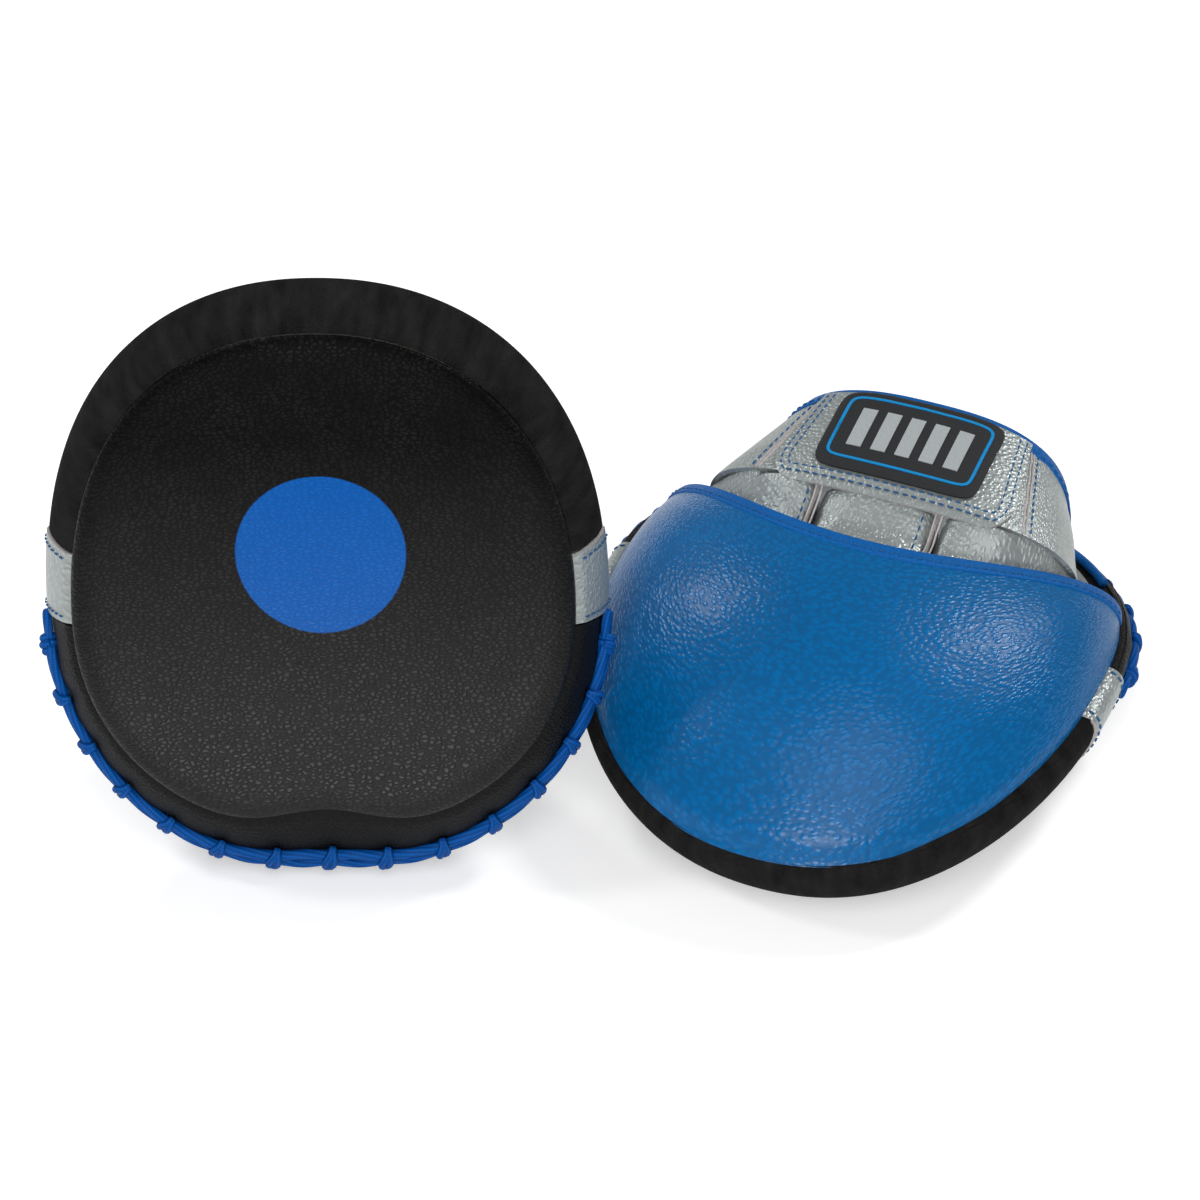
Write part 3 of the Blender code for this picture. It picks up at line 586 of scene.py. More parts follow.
def wall(angles, share, out=0.0, depth=None):
    """Points on the side wall, moved outwards in plan."""
    angles = np.asarray(angles, float)
    share = np.broadcast_to(np.asarray(share, float), angles.shape)
    tangent = unit(wall_outline(angles + OUTLINE_STEP, share) - wall_outline(angles - OUTLINE_STEP, share))
    normal = np.stack([tangent[..., 1], -tangent[..., 0]], -1)
    plan = wall_outline(angles, share) + normal * np.broadcast_to(out, angles.shape)[..., None]
    level = -share * WALL_DEPTH if depth is None else -np.broadcast_to(depth, angles.shape)
    return np.concatenate([plan, level[..., None]], -1)


def angle_at(y):
    """Outline angle, on the +X side, where the back edge has this Y."""
    reach = PAD_FINGER_REACH if y > OUTLINE_CENTRE_Y else PAD_WRIST_REACH
    rise = (y - OUTLINE_CENTRE_Y) / reach
    return math.copysign(math.asin(abs(rise) ** (OUTLINE_POWER / 2)), rise)


def half_width_at(y):
    """Half the width of the back edge at each Y."""
    reach = np.where(y > OUTLINE_CENTRE_Y, PAD_FINGER_REACH, PAD_WRIST_REACH)
    rise = clamp(np.abs(y - OUTLINE_CENTRE_Y) / reach)
    return PAD_HALF_WIDTH * (1 - rise**OUTLINE_POWER) ** (1 / OUTLINE_POWER)


def roll_ring(angles, turn, tuck=0.0):
    """Points on the face's rolled edge: turn 0 at the seam, a quarter turn where the face lies flat."""
    inset = FACE_ROLL_WIDTH * (1 - np.cos(turn)) + tuck
    drop = FACE_ROLL_DEPTH * np.sin(turn)
    return wall(angles, np.ones_like(angles), -inset, WALL_DEPTH + drop)


def bent(points):
    """Flat layout to the curved mitt: its length follows an arc about an axis across it."""
    points = np.asarray(points, float)
    swing = (points[..., 1] - BEND_CENTRE_Y) / BEND_RADIUS
    reach = BEND_RADIUS + points[..., 2]
    along = BEND_CENTRE_Y + reach * np.sin(swing)
    return np.stack([points[..., 0], along, reach * np.cos(swing) - BEND_RADIUS], -1)


def square_axes(first, second):
    """Three axes at right angles: the first as given, and the second as near as can be."""
    second = unit(second - first * (first @ second))
    return np.stack([first, second, np.cross(first, second)], 1)


class Mitt:
    """Where one mitt lies: its turn and place come from its two hinges."""

    def __init__(self, side):
        self.side = side
        self.hand = 1.0 if side == "right" else -1.0
        joints = {joint["name"]: joint for joint in frame["joints"]}
        hood, glove = joints[f"{side}_hood_lift"], joints[f"{side}_glove_lift"]
        hood_flat = bent((0.0, OUTLINE_CENTRE_Y + PAD_FINGER_REACH - HOOD_EDGE_INSET, SIDE_GAP))
        glove_flat = bent((0.0, KNUCKLE_Y, GLOVE_BASE + KNUCKLE_HEIGHT))
        across = unit(-np.array(hood["axis"], float))
        here = square_axes(np.array([1.0, 0.0, 0.0]), hood_flat - glove_flat)
        there = square_axes(across, np.array(hood["pos_m"]) - np.array(glove["pos_m"]))
        self.turn = there @ here.T
        self.shift = np.array(hood["pos_m"]) - self.turn @ hood_flat

    def place(self, flat):
        """Flat layout points of this hand to the scene."""
        curved = bent(np.asarray(flat, float) * (self.hand, 1, 1))
        return curved @ self.turn.T + self.shift

    def carry(self, flat, ways):
        """Flat points and their directions to the scene, where the directions come out short."""
        here = self.place(flat)
        return here, self.place(flat + NUDGE * ways) - here

    def at(self, x, y, z):
        """A point in the curved mitt's own axes to the scene."""
        return tuple(self.turn @ np.array([x, y, z]) + self.shift)

    def body(self, name):
        return f"{self.side}_{name}"


def write_points(mesh, points):
    mesh.vertices.foreach_set("co", np.ascontiguousarray(points, np.float32).ravel())
    mesh.update()


def read_points(mesh):
    points = np.empty(len(mesh.vertices) * 3, np.float32)
    mesh.vertices.foreach_get("co", points)
    return points.reshape(-1, 3).astype(float)


def add_grid(name, columns, rows):
    """A new square grid from -1 to 1, ready to be shaped, and its two coordinates."""
    bpy.ops.object.select_all(action="DESELECT")
    bpy.ops.mesh.primitive_grid_add(x_subdivisions=columns, y_subdivisions=rows, size=2)
    obj = bpy.context.object
    obj.name = name
    obj.data.name = name
    points = read_points(obj.data)
    return obj, points[:, 0], points[:, 1]


def shape(obj, points, uv):
    """Moves a grid's points, and gives each corner its place on the leather, in metres."""
    mesh = obj.data
    write_points(mesh, points)
    corners = np.empty(len(mesh.loops), np.int32)
    mesh.loops.foreach_get("vertex_index", corners)
    mesh.uv_layers.active.data.foreach_set("uv", uv[corners].astype(np.float32).ravel())


def face_outwards(mesh, towards):
    """Turns an open surface so that its normals run along the given directions on the whole."""
    normals = np.empty(len(mesh.vertices) * 3, np.float32)
    mesh.vertices.foreach_get("normal", normals)
    if (normals.reshape(-1, 3) * towards).sum() < 0:
        mesh.flip_normals()


def thicken(obj, thickness, outwards, rim_material=False):
    solidify = obj.modifiers.new("thickness", "SOLIDIFY")
    solidify.thickness = thickness
    solidify.offset = 1.0 if outwards else -1.0
    solidify.use_even_offset = False
    if rim_material:
        solidify.material_offset_rim = 1
    bpy.context.view_layer.objects.active = obj
    bpy.ops.object.modifier_apply(modifier=solidify.name)


def sheet_span(mesh, columns, rows):
    """Greatest width and length of a grid, and its area."""
    points = read_points(mesh).reshape(rows + 1, columns + 1, 3)
    width = np.linalg.norm(np.diff(points, axis=1), axis=2).sum(1).max()
    length = np.linalg.norm(np.diff(points, axis=0), axis=2).sum(0).max()
    area = sum(poly.area for poly in mesh.polygons)
    return float(width), float(length), float(area)


def declare_sheet(mitt, name):
    rests = [mitt.body("backing_board" if "back" in name else "back_panel")]


def make_sheet(mitt, name, surface, grid, thickness, towards, looks, outwards=False, padded=None):
    """A leather sheet over a surface that gives flat points for two coordinates from -1 to 1."""
    obj, u, v = add_grid(mitt.body(name), *grid)
    flat, uv = surface(u, v)
    world, ahead = mitt.carry(flat, towards(flat))
    shape(obj, world, uv)
    face_outwards(obj.data, ahead)
    extent = sheet_span(obj.data, *grid)
    for look in looks:
        obj.data.materials.append(finish(look))
    thicken(obj, thickness, outwards, len(looks) > 1)
    bpy.ops.object.shade_smooth_by_angle(angle=SHARP_ANGLE)
    if padded is not None:
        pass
    else:
        declare_sheet(mitt, name)
    return obj


def make_tube(mitt, name, run, ways, radius, sides, squash=1.0):
    """A closed tube along a run of flat points, with one side of its section along the given ways."""
    path, across = mitt.carry(run, ways)
    obj, u, v = add_grid(name, sides, len(path) - 1)
    tangent = unit(np.gradient(path, axis=0))
    across = unit(across - tangent * (across * tangent).sum(1, keepdims=True))
    beside = np.cross(tangent, across)
    row = step_of(v, len(path))
    turn = (u + 1) * math.pi
    out = across[row] * (np.cos(turn) * squash)[:, None] + beside[row] * np.sin(turn)[:, None]
    shape(obj, path[row] + radius * out, np.stack([turn * radius, run_lengths(path)[row]], 1))
    bpy.ops.object.mode_set(mode="EDIT")
    bpy.ops.mesh.select_all(action="SELECT")
    bpy.ops.mesh.remove_doubles(threshold=MERGE_DISTANCE)
    bpy.ops.mesh.fill_holes(sides=sides)
    bpy.ops.mesh.normals_make_consistent(inside=False)
    bpy.ops.object.mode_set(mode="OBJECT")
    bpy.ops.object.shade_smooth()
    return obj


def join(objects, name):
    bpy.ops.object.select_all(action="DESELECT")
    for obj in objects:
        obj.select_set(True)
    bpy.context.view_layer.objects.active = objects[0]
    bpy.ops.object.join()
    joined = bpy.context.object
    joined.name = name
    joined.data.name = name
    return joined


def new_material(name, base, **constants):
    """A material whose shader has its constant values set on its own sockets."""
    material = bpy.data.materials.new(name)
    material.use_nodes = True
    shader = material.node_tree.nodes["Principled BSDF"]
    shader.inputs["Base Color"].default_value = (*base, 1.0)
    for key, value in constants.items():
        shader.inputs[key.replace("_", " ").title().replace("Ior", "IOR")].default_value = value
    return material, material.node_tree, shader


def node(tree, kind, inputs, **settings):
    """Adds a node with its settings; an input that is a socket is linked, and any other is set."""
    made = tree.nodes.new("ShaderNode" + kind)
    for key, value in settings.items():
        setattr(made, key, value)
    for key, value in inputs.items():
        if isinstance(value, bpy.types.NodeSocket):
            tree.links.new(value, made.inputs[key])
        else:
            made.inputs[key].default_value = value
    return made.outputs


def feed(tree, shader, sockets):
    """Links each socket to the shader's input of that name."""
    for name, socket in sockets.items():
        tree.links.new(socket, shader.inputs[name])


def shade(colour, factor):
    """A colour made darker or lighter, as a node takes it."""
    return (*[min(c * factor, 1.0) for c in colour], 1.0)


def shades(share, base, dark, light):
    """What a colour mix takes in to go from a darker to a lighter shade of one colour."""
    return {SHARE: share, DARK: shade(base, dark), LIGHT: shade(base, light)}


def span(value, low=0.0, high=1.0, first=0.0, last=1.0):
    """What a map range takes in to turn low to high into first to last."""
    return {"Value": value, "From Min": low, "From Max": high, "To Min": first, "To Max": last}


def wandering(tree, place, pebble, share):
    """Texture places that wander by a share of a pebble, so that no two pebbles are alike."""
    drift = node(tree, "TexNoise", {"Vector": place, "Scale": 0.4 / pebble, "Detail": 2.0})["Color"]
    step = (share * pebble,) * 3
    return node(tree, "VectorMath", {0: drift, 1: step, 2: place}, operation="MULTIPLY_ADD")[0]


def face_leather():
    # Drum-dyed cowhide with a fine flattened grain. Painted highlight on the pebble tops and painted shade in
    # the creases, its strength patchy from a slow noise. The half nearer the wrist is rubbed smooth by
    # strikes and shines more. The printed target covers the creases too, darker in them and a touch lighter
    # on the tops.
    base, target, pebble = colours().face, colours().target, sizes().pebble
    material, tree, shader = new_material("pebbled black cowhide", base)
    place = node(tree, "TexCoord", {})["UV"]
    moved = wandering(tree, place, pebble, 1.1)
    drawn = node(tree, "Mapping", {"Vector": moved, "Scale": (0.72, 1.12, 1.0)})["Vector"]
    cells = {"Vector": drawn, "Scale": 1 / pebble}
    grain = node(tree, "TexVoronoi", cells, feature="DISTANCE_TO_EDGE")["Distance"]
    tops = node(tree, "MapRange", span(grain, high=0.30), interpolation_type="SMOOTHSTEP")["Result"]
    fine = node(tree, "TexNoise", {"Vector": place, "Scale": 1 / 0.0006, "Detail": 3.0})["Fac"]
    height = node(tree, "Math", {0: fine, 1: 0.35, 2: tops}, operation="MULTIPLY_ADD")[0]
    slow = node(tree, "TexNoise", {"Vector": place, "Scale": 1 / 0.020, "Detail": 3.0})["Fac"]
    # Patchy strength of the painted highlight on the pebble tops.
    highlight_patches = node(tree, "MapRange", span(slow, low=0.35, high=0.70, first=0.25))["Result"]
    painted_light_share = node(tree, "Math", {0: tops, 1: highlight_patches}, operation="MULTIPLY")[0]
    # Painted shade in the creases and painted highlight on the pebble tops, mixed into the hide's colour.
    hide = node(tree, "Mix", shades(painted_light_share, base, dark=0.2, light=2.6), data_type="RGBA")[MIXED]
    ink = node(tree, "Mix", shades(tops, target, dark=0.86, light=1.02), data_type="RGBA")[MIXED]
    middle, radius = (0.0, sizes().target_y, 0.0), sizes().target_diameter / 2
    reach = node(tree, "VectorMath", {0: place, 1: middle}, operation="DISTANCE")["Value"]
    ring = span(reach, low=radius - 0.0002, high=radius + 0.0003, first=1.0, last=0.0)
    inside = node(tree, "MapRange", ring)["Result"]
    colour = node(tree, "Mix", {SHARE: inside, DARK: hide, LIGHT: ink}, data_type="RGBA")[MIXED]
    gloss = node(tree, "MapRange", span(tops, first=0.55, last=0.38))["Result"]
    bumps = node(tree, "Bump", {"Height": height, "Strength": 0.35, "Distance": 0.0004})["Normal"]
    along = node(tree, "SeparateXYZ", {"Vector": place})["Y"]
    rubbed = node(tree, "MapRange", span(along, low=-0.045, high=0.060, first=0.26, last=0.05))["Result"]
    sockets = {"Base Color": colour, "Roughness": gloss, "Specular IOR Level": rubbed, "Normal": bumps}
    feed(tree, shader, sockets)
    return material


def grained_leather(name, base, grain, relief, gloss, crease=0.75, light=1.08, folds=0.0, **constants):
    # Pigmented, milled leather: round pebbles with painted shade in the creases between them, slow random
    # shifts of tone and, on the soft pieces, shallow folds.
    material, tree, shader = new_material(name, base, **constants)
    place = node(tree, "TexCoord", {})["UV"]
    moved = wandering(tree, place, grain, 0.9)
    pebbles = {"Vector": moved, "Scale": 1 / grain, "Smoothness": 0.35}
    cells = node(tree, "TexVoronoi", pebbles, feature="SMOOTH_F1")["Distance"]
    crown = span(cells, low=0.15, high=0.70, first=1.0, last=0.0)
    tops = node(tree, "MapRange", crown, interpolation_type="SMOOTHSTEP")["Result"]
    fine = node(tree, "TexNoise", {"Vector": place, "Scale": 2.2 / grain, "Detail": 3.0})["Fac"]
    height = node(tree, "Math", {0: fine, 1: 0.4, 2: tops}, operation="MULTIPLY_ADD")[0]
    if folds:
        broad = {"Vector": place, "Scale": 1 / 0.013, "Detail": 2.0, "Distortion": 1.2}
        slack = node(tree, "TexNoise", broad)["Fac"]
        height = node(tree, "Math", {0: slack, 1: folds, 2: height}, operation="MULTIPLY_ADD")[0]
    slow = node(tree, "TexNoise", {"Vector": place, "Scale": 1 / 0.024, "Detail": 3.0})["Fac"]
    shift = node(tree, "MapRange", span(slow, low=0.30, high=0.72))["Result"]
    pebble = node(tree, "Mix", shades(shift, base, dark=0.94, light=light), data_type="RGBA")[MIXED]
    # Painted shade: the creases between the pebbles take a darker copy of the colour.
    over = {SHARE: tops, DARK: shade(base, crease), LIGHT: pebble}
    colour = node(tree, "Mix", over, data_type="RGBA")[MIXED]
    polish = node(tree, "MapRange", span(tops, first=gloss + 0.10, last=gloss))["Result"]
    bumps = node(tree, "Bump", {"Height": height, "Strength": 0.6, "Distance": relief})["Normal"]
    feed(tree, shader, {"Base Color": colour, "Roughness": polish, "Normal": bumps})
    return material


def suede():
    # Split leather with a short nap: no gloss at all, brushed into slightly lighter streaks.
    base = colours().suede
    material, tree, shader = new_material("black suede", base, roughness=0.97, specular_ior_level=0.06)
    place = node(tree, "TexCoord", {})["UV"]
    nap = node(tree, "TexNoise", {"Vector": place, "Scale": 1 / 0.0006, "Detail": 5.0})["Fac"]
    brushed = node(tree, "Mapping", {"Vector": place, "Scale": (1.0, 0.4, 1.0)})["Vector"]
    streaks = node(tree, "TexNoise", {"Vector": brushed, "Scale": 1 / 0.006, "Detail": 5.0})["Fac"]
    mixed = node(tree, "Math", {0: nap, 1: 0.8, 2: streaks}, operation="MULTIPLY_ADD")[0]
    share = node(tree, "MapRange", span(mixed, low=0.65, high=1.20))["Result"]
    colour = node(tree, "Mix", shades(share, base, dark=0.5, light=2.0), data_type="RGBA")[MIXED]
    bumps = node(tree, "Bump", {"Height": nap, "Strength": 0.6, "Distance": 0.0005})["Normal"]
    feed(tree, shader, {"Base Color": colour, "Normal": bumps})
    return material


def lace_cord():
    # Woven polyester lace: fine ribs along the cord and a satin sheen.
    base = colours().lace
    dull = {"roughness": 0.6, "specular_ior_level": 0.12}
    material, tree, shader = new_material("woven polyester lace", base, **dull)
    place = node(tree, "TexCoord", {})["UV"]
    turned = node(tree, "Mapping", {"Vector": place, "Rotation": (0.0, 0.0, 0.18)})["Vector"]
    rib_wave = {"Vector": turned, "Scale": 160.0, "Distortion": 0.6}
    ribs = node(tree, "TexWave", rib_wave, bands_direction="X")["Fac"]
    picks = node(tree, "TexWave", {"Vector": turned, "Scale": 330.0}, bands_direction="Y")["Fac"]
    weave = node(tree, "Math", {0: picks, 1: 0.4, 2: ribs}, operation="MULTIPLY_ADD")[0]
    share = node(tree, "MapRange", span(weave, high=1.2))["Result"]
    colour = node(tree, "Mix", shades(share, base, dark=0.55, light=1.15), data_type="RGBA")[MIXED]
    bumps = node(tree, "Bump", {"Height": weave, "Strength": 0.5, "Distance": 0.0004})["Normal"]
    feed(tree, shader, {"Base Color": colour, "Normal": bumps})
    return material


def speckled(name, base, size, dark, light, relief, space):
    # Rubber, knit, thread, foam, board and cut edges: an even speckle of shade with a matching fine relief.
    material, tree, shader = new_material(name, base, roughness=0.7, specular_ior_level=0.25)
    place = node(tree, "TexCoord", {})[space]
    speckle = node(tree, "TexNoise", {"Vector": place, "Scale": 1 / size, "Detail": 4.0})["Fac"]
    share = node(tree, "MapRange", span(speckle, low=0.3, high=0.7))["Result"]
    colour = node(tree, "Mix", shades(share, base, dark, light), data_type="RGBA")[MIXED]
    bumps = node(tree, "Bump", {"Height": speckle, "Strength": 0.5, "Distance": relief})["Normal"]
    feed(tree, shader, {"Base Color": colour, "Normal": bumps})
    return material


def make_finish(name):
    """The finish of one kind of leather, tape, cord or filling."""
    look, grain = colours(), sizes().grain
    special = {"face": face_leather, "suede": suede, "lace": lace_cord}
    if name in special:
        return special[name]()
    # In each leather the crease factor paints shade into the creases between the pebbles.
    leathers = {
        # Corrected leather: a fine, nearly plain grain with a dull sheen.
        "rim": dict(
            name="smooth black leather",
            base=look.face,
            grain=grain,
            relief=0.0003,
            gloss=0.42,
            crease=0.8,
            light=1.6,
            specular_ior_level=0.12,
        ),
        # Coated leather: a small glossy pebble that breaks up each lamp's highlight.
        "hood": dict(
            name="blue pebbled leather",
            base=look.hood,
            grain=sizes().hood_pebble,
            relief=0.0002,
            gloss=0.23,
            crease=0.74,
            light=1.05,
            specular_ior_level=0.22,
        ),
        # Metal flakes in the coat: a grey that shines softly along every fold.
        "silver": dict(
            name="pearlised silver leather",
            base=look.silver,
            grain=1.4 * grain,
            relief=0.0003,
            gloss=0.34,
            crease=0.88,
            light=1.08,
            folds=2.2,
            metallic=0.5,
            specular_ior_level=0.5,
        ),
        # Skived binding: flat colour with hardly any gloss.
        "tape": dict(
            name="blue binding leather",
            base=look.tape,
            grain=grain,
            relief=0.0002,
            gloss=0.46,
            crease=0.85,
            specular_ior_level=0.15,
        ),
    }
    if name in leathers:
        return grained_leather(**leathers[name])
    # Label, width of a speckle, darkest and lightest shade, relief and texture space.
    plain = {
        # Knit: dark, with paler loops.
        "lining": ("knitted lining", 0.0014, 0.5, 1.7, 0.0005, "UV"),
        # Rubber: even and dull, with a slight bloom.
        "badge": ("moulded black rubber", 0.0009, 0.85, 1.18, 0.0002, "UV"),
        "badge_line": ("moulded blue rubber", 0.0009, 0.9, 1.1, 0.0002, "UV"),
        "badge_bar": ("moulded grey rubber", 0.0009, 0.92, 1.06, 0.0002, "UV"),
        # Cut leather: pale, rough fibres.
        "raw_edge": ("raw leather edge", 0.0008, 0.70, 1.05, 0.0004, "Object"),
        # Thread: flecked where its plies turn.
        "thread": ("bonded polyester thread", 0.0006, 0.7, 1.3, 0.0002, "Object"),
        # Foam: pale, with small darker cells.
        "foam": ("closed-cell foam", 0.0012, 0.75, 1.05, 0.0004, "Object"),
        # Board: brown, with mixed fibres.
        "board": ("pressed backing board", 0.0016, 0.75, 1.1, 0.0004, "Object"),
    }
    label, *values = plain[name]
    return speckled(label, getattr(look, name), *values)


made_finishes = {}


def finish(name):
    if name not in made_finishes:
        made_finishes[name] = make_finish(name)
    return made_finishes[name]


def attach(obj, mitt, solid=None, hinge=None):
    """Puts a piece on its body, the pad or the glove; a piece for a hinged body is only baked in place."""
    if solid:
        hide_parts(mitt.body(solid))
    if hinge in HINGED:
        child, low, high = HINGED[hinge]
        mitt.body("pad")
        mitt.body(child)
        mitt.at(0, 0, low)
        mitt.at(0, 0, high)
        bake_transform(obj)
    else:
        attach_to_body(obj, mitt.body(hinge or "pad"))


class MakesBoth:
    """Makes the same pieces on both mitts"""

    def execute(self, context):
        for side in SIDES:
            self.make(Mitt(side))
        return {"FINISHED"}


def face_surface(u, v):
    angles, radius = disc(u, v)
    inner = roll_ring(angles, np.full_like(angles, HALF_PI))
    share = clamp(radius / FACE_FLAT_SHARE)
    flat = mix(np.array(OUTLINE_CENTRE), inner, share[:, None])
    flat[:, 2] = -PAD_THICKNESS - FACE_CROWN * (1 - share**2)
    turn = HALF_PI * clamp((1 - radius) / (1 - FACE_FLAT_SHARE))
    edge = roll_ring(angles, turn, FACE_TUCK * (1 - np.sin(turn)) ** 3)
    flat = np.where((radius > FACE_FLAT_SHARE)[:, None], edge, flat)
    # The face lies on the inside of the pad's bend, so its leather is shorter than the flat pad.
    uv = flat[:, :2] * (1.0, 1 - PAD_THICKNESS / BEND_RADIUS)
    slack = 1 - smooth(gone(radius, *FACE_SLACK))
    flat[:, 2] -= waves(flat, FACE_WAVES) * slack
    return flat, uv


def back_surface(u, v):
    angles, radius = disc(u, v)
    edge = wall(angles, np.zeros_like(angles), -RIM_LEATHER - BACK_INSET)
    flat = mix(np.array(OUTLINE_CENTRE), edge, radius[:, None])
    return flat, flat[:, :2]


def settle(mitt, obj):
    """Keeps the lying mitt's face just over the floor plane that its solid was cut to."""
    if mitt.side != "right":
        return
    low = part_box(mitt.body("face_panel"))[0][2]
    points = read_points(obj.data)
    points[:, 2] = np.maximum(points[:, 2], low + FLOOR_CLEARANCE)
    write_points(obj.data, points)


class MITTS_OT_faces(MakesBoth, bpy.types.Operator):
    """Makes the pebbled striking faces and the suede backs"""

    bl_idname = "mitts.faces"
    bl_label = "Faces and backs"

    def make(self, mitt):
        full = {"padded": FACE_FILL}
        face = make_sheet(
            mitt, "face_leather", face_surface, (128, 128), FACE_LEATHER, downwards, ["face"], **full
        )
        settle(mitt, face)
        attach(face, mitt, "face_panel")
        back = make_sheet(mitt, "back_suede", back_surface, (64, 64), BACK_LEATHER, upwards, ["suede"])
        attach(back, mitt, "back_panel")


def lace_angles(per_hitch):
    """Angles of even steps along the lace's line, with a hitch at every so many steps."""
    start = angle_at(PATCH_REAR_Y - 3 * KNOT_RADIUS)
    fine = np.linspace(start, -math.pi - start, LACE_POINTS)
    along = run_lengths(wall(fine, LACE_SHARE))
    hitches = max(2, round(along[-1] / HITCH_PITCH))
    return np.interp(np.linspace(0, along[-1], hitches * per_hitch + 1), along, fine)


def hitch_phase(angles):
    """How far each angle lies along the lace, in hitches."""
    marks = lace_angles(1)
    return np.interp(-angles, -marks, np.arange(len(marks)))


def band_section(share, wrap):
    """Inset and depth of a rim band's section, from its inner edge on the back, 0, to the face seam, 1."""
    on_back = wrap - EDGE_ROUND
    round_run = EDGE_ROUND * HALF_PI
    run = share * (on_back + round_run + WALL_DEPTH - EDGE_ROUND)
    turn = np.clip((run - on_back) / EDGE_ROUND, 0, HALF_PI)
    down = np.clip(run - on_back - round_run, 0, None)
    inset = np.clip(on_back - run, 0, None) + EDGE_ROUND * (1 - np.sin(turn))
    depth = EDGE_ROUND * (1 - np.cos(turn)) + down - BACK_LIFT * np.cos(turn)
    return inset, depth


def band_point(angles, share, wrap, out):
    """Points of a rim band, lifted off the wall and the back by the same amount."""
    inset, depth = band_section(share, wrap)
    on_back = clamp(inset / EDGE_ROUND)
    wall_share = clamp(depth / WALL_DEPTH)
    return wall(angles, wall_share, out * (1 - on_back) - inset, depth - out * on_back)


def band_surface(first, last, out, wrap, roll):
    """A rim band between two outline angles, with its lower edge turned into the seam."""

    def surface(u, v):
        angles = mix(first, last, along_grid(u))
        share = BAND_END * along_grid(v)
        depth = clamp(band_section(share, wrap)[1] / WALL_DEPTH)
        lifted = out - BAND_TUCK * gone(depth, *BAND_TUCK_RUN) ** 2
        if roll:
            # The roll is full between the hitches, and pulled in under each of them.
            pulled = (np.cos(hitch_phase(angles) * 2 * math.pi) + 1) / 2
            groove = np.exp(-(((depth - LACE_SHARE) / ROLL_PINCH_SHARE) ** 2))
            fullness = np.sin(math.pi * depth)
            lifted = lifted + ROLL_SWELL * fullness * (1 - pulled) - ROLL_PINCH * groove * pulled
        flat = band_point(angles, share, wrap, lifted)
        radius = np.linalg.norm(wall(angles, 0.0)[:, :2], axis=1).mean()
        flat[:, 2] += waves(flat, BAND_WAVES) * (depth <= 0)
        return flat, np.stack([(angles - angles.min()) * radius, share * (wrap + WALL_DEPTH)], 1)

    return surface


class MITTS_OT_rims(MakesBoth, bpy.types.Operator):
    """Makes the suede finger rims, the leather wrist rolls and the side patches"""

    bl_idname = "mitts.rims"
    bl_label = "Rims and side patches"

    def make(self, mitt):
        front, rear = angle_at(PATCH_FRONT_Y), angle_at(PATCH_REAR_Y)
        over, under = front + BAND_GAP, rear - BAND_GAP
        suede_kind = ("suede", ["suede"], 120, 0.0, HOOD_WRAP, False)
        roll_kind = ("rim_leather", ["rim"], 200, 0.0, WRIST_WRAP, True)
        patch_kind = ("silver_leather", ["silver", "raw_edge"], 16, PATCH_PROUD, HOOD_WRAP, False)
        patch = (front - BAND_GAP, rear + BAND_GAP)
        thumb_patch = (math.pi - front + BAND_GAP, math.pi - rear - BAND_GAP)
        bands = (
            ("finger_suede", "finger_rim", (over, math.pi - over), suede_kind),
            ("wrist_roll", "wrist_rim", (under, -math.pi - under), roll_kind),
            ("outer_patch_leather", "outer_patch", patch, patch_kind),
            ("thumb_patch_leather", "thumb_patch", thumb_patch, patch_kind),
        )
        for name, solid, ends, (slot, looks, columns, out, wrap, roll) in bands:
            surface = band_surface(*ends, out, wrap, roll)
            grid = (columns, BAND_ROWS)
            band = make_sheet(mitt, name, surface, grid, RIM_LEATHER * MODELLED, sideways, looks)
            attach(band, mitt, solid)


def wall_frames(angles):
    """Points, depth directions and outward normals of the wrist roll along the lace's line."""
    step = LACE_FRAME_STEP
    here = wall(angles, LACE_SHARE)
    depth = unit(wall(angles, LACE_SHARE + step) - wall(angles, LACE_SHARE - step))
    along = wall(angles + step, LACE_SHARE) - wall(angles - step, LACE_SHARE)
    normal = unit(np.cross(along, depth))
    outward = np.stack([np.cos(angles), np.sin(angles), np.zeros_like(angles)], 1)
    return here, depth, normal * np.sign((normal * outward).sum(1, keepdims=True))


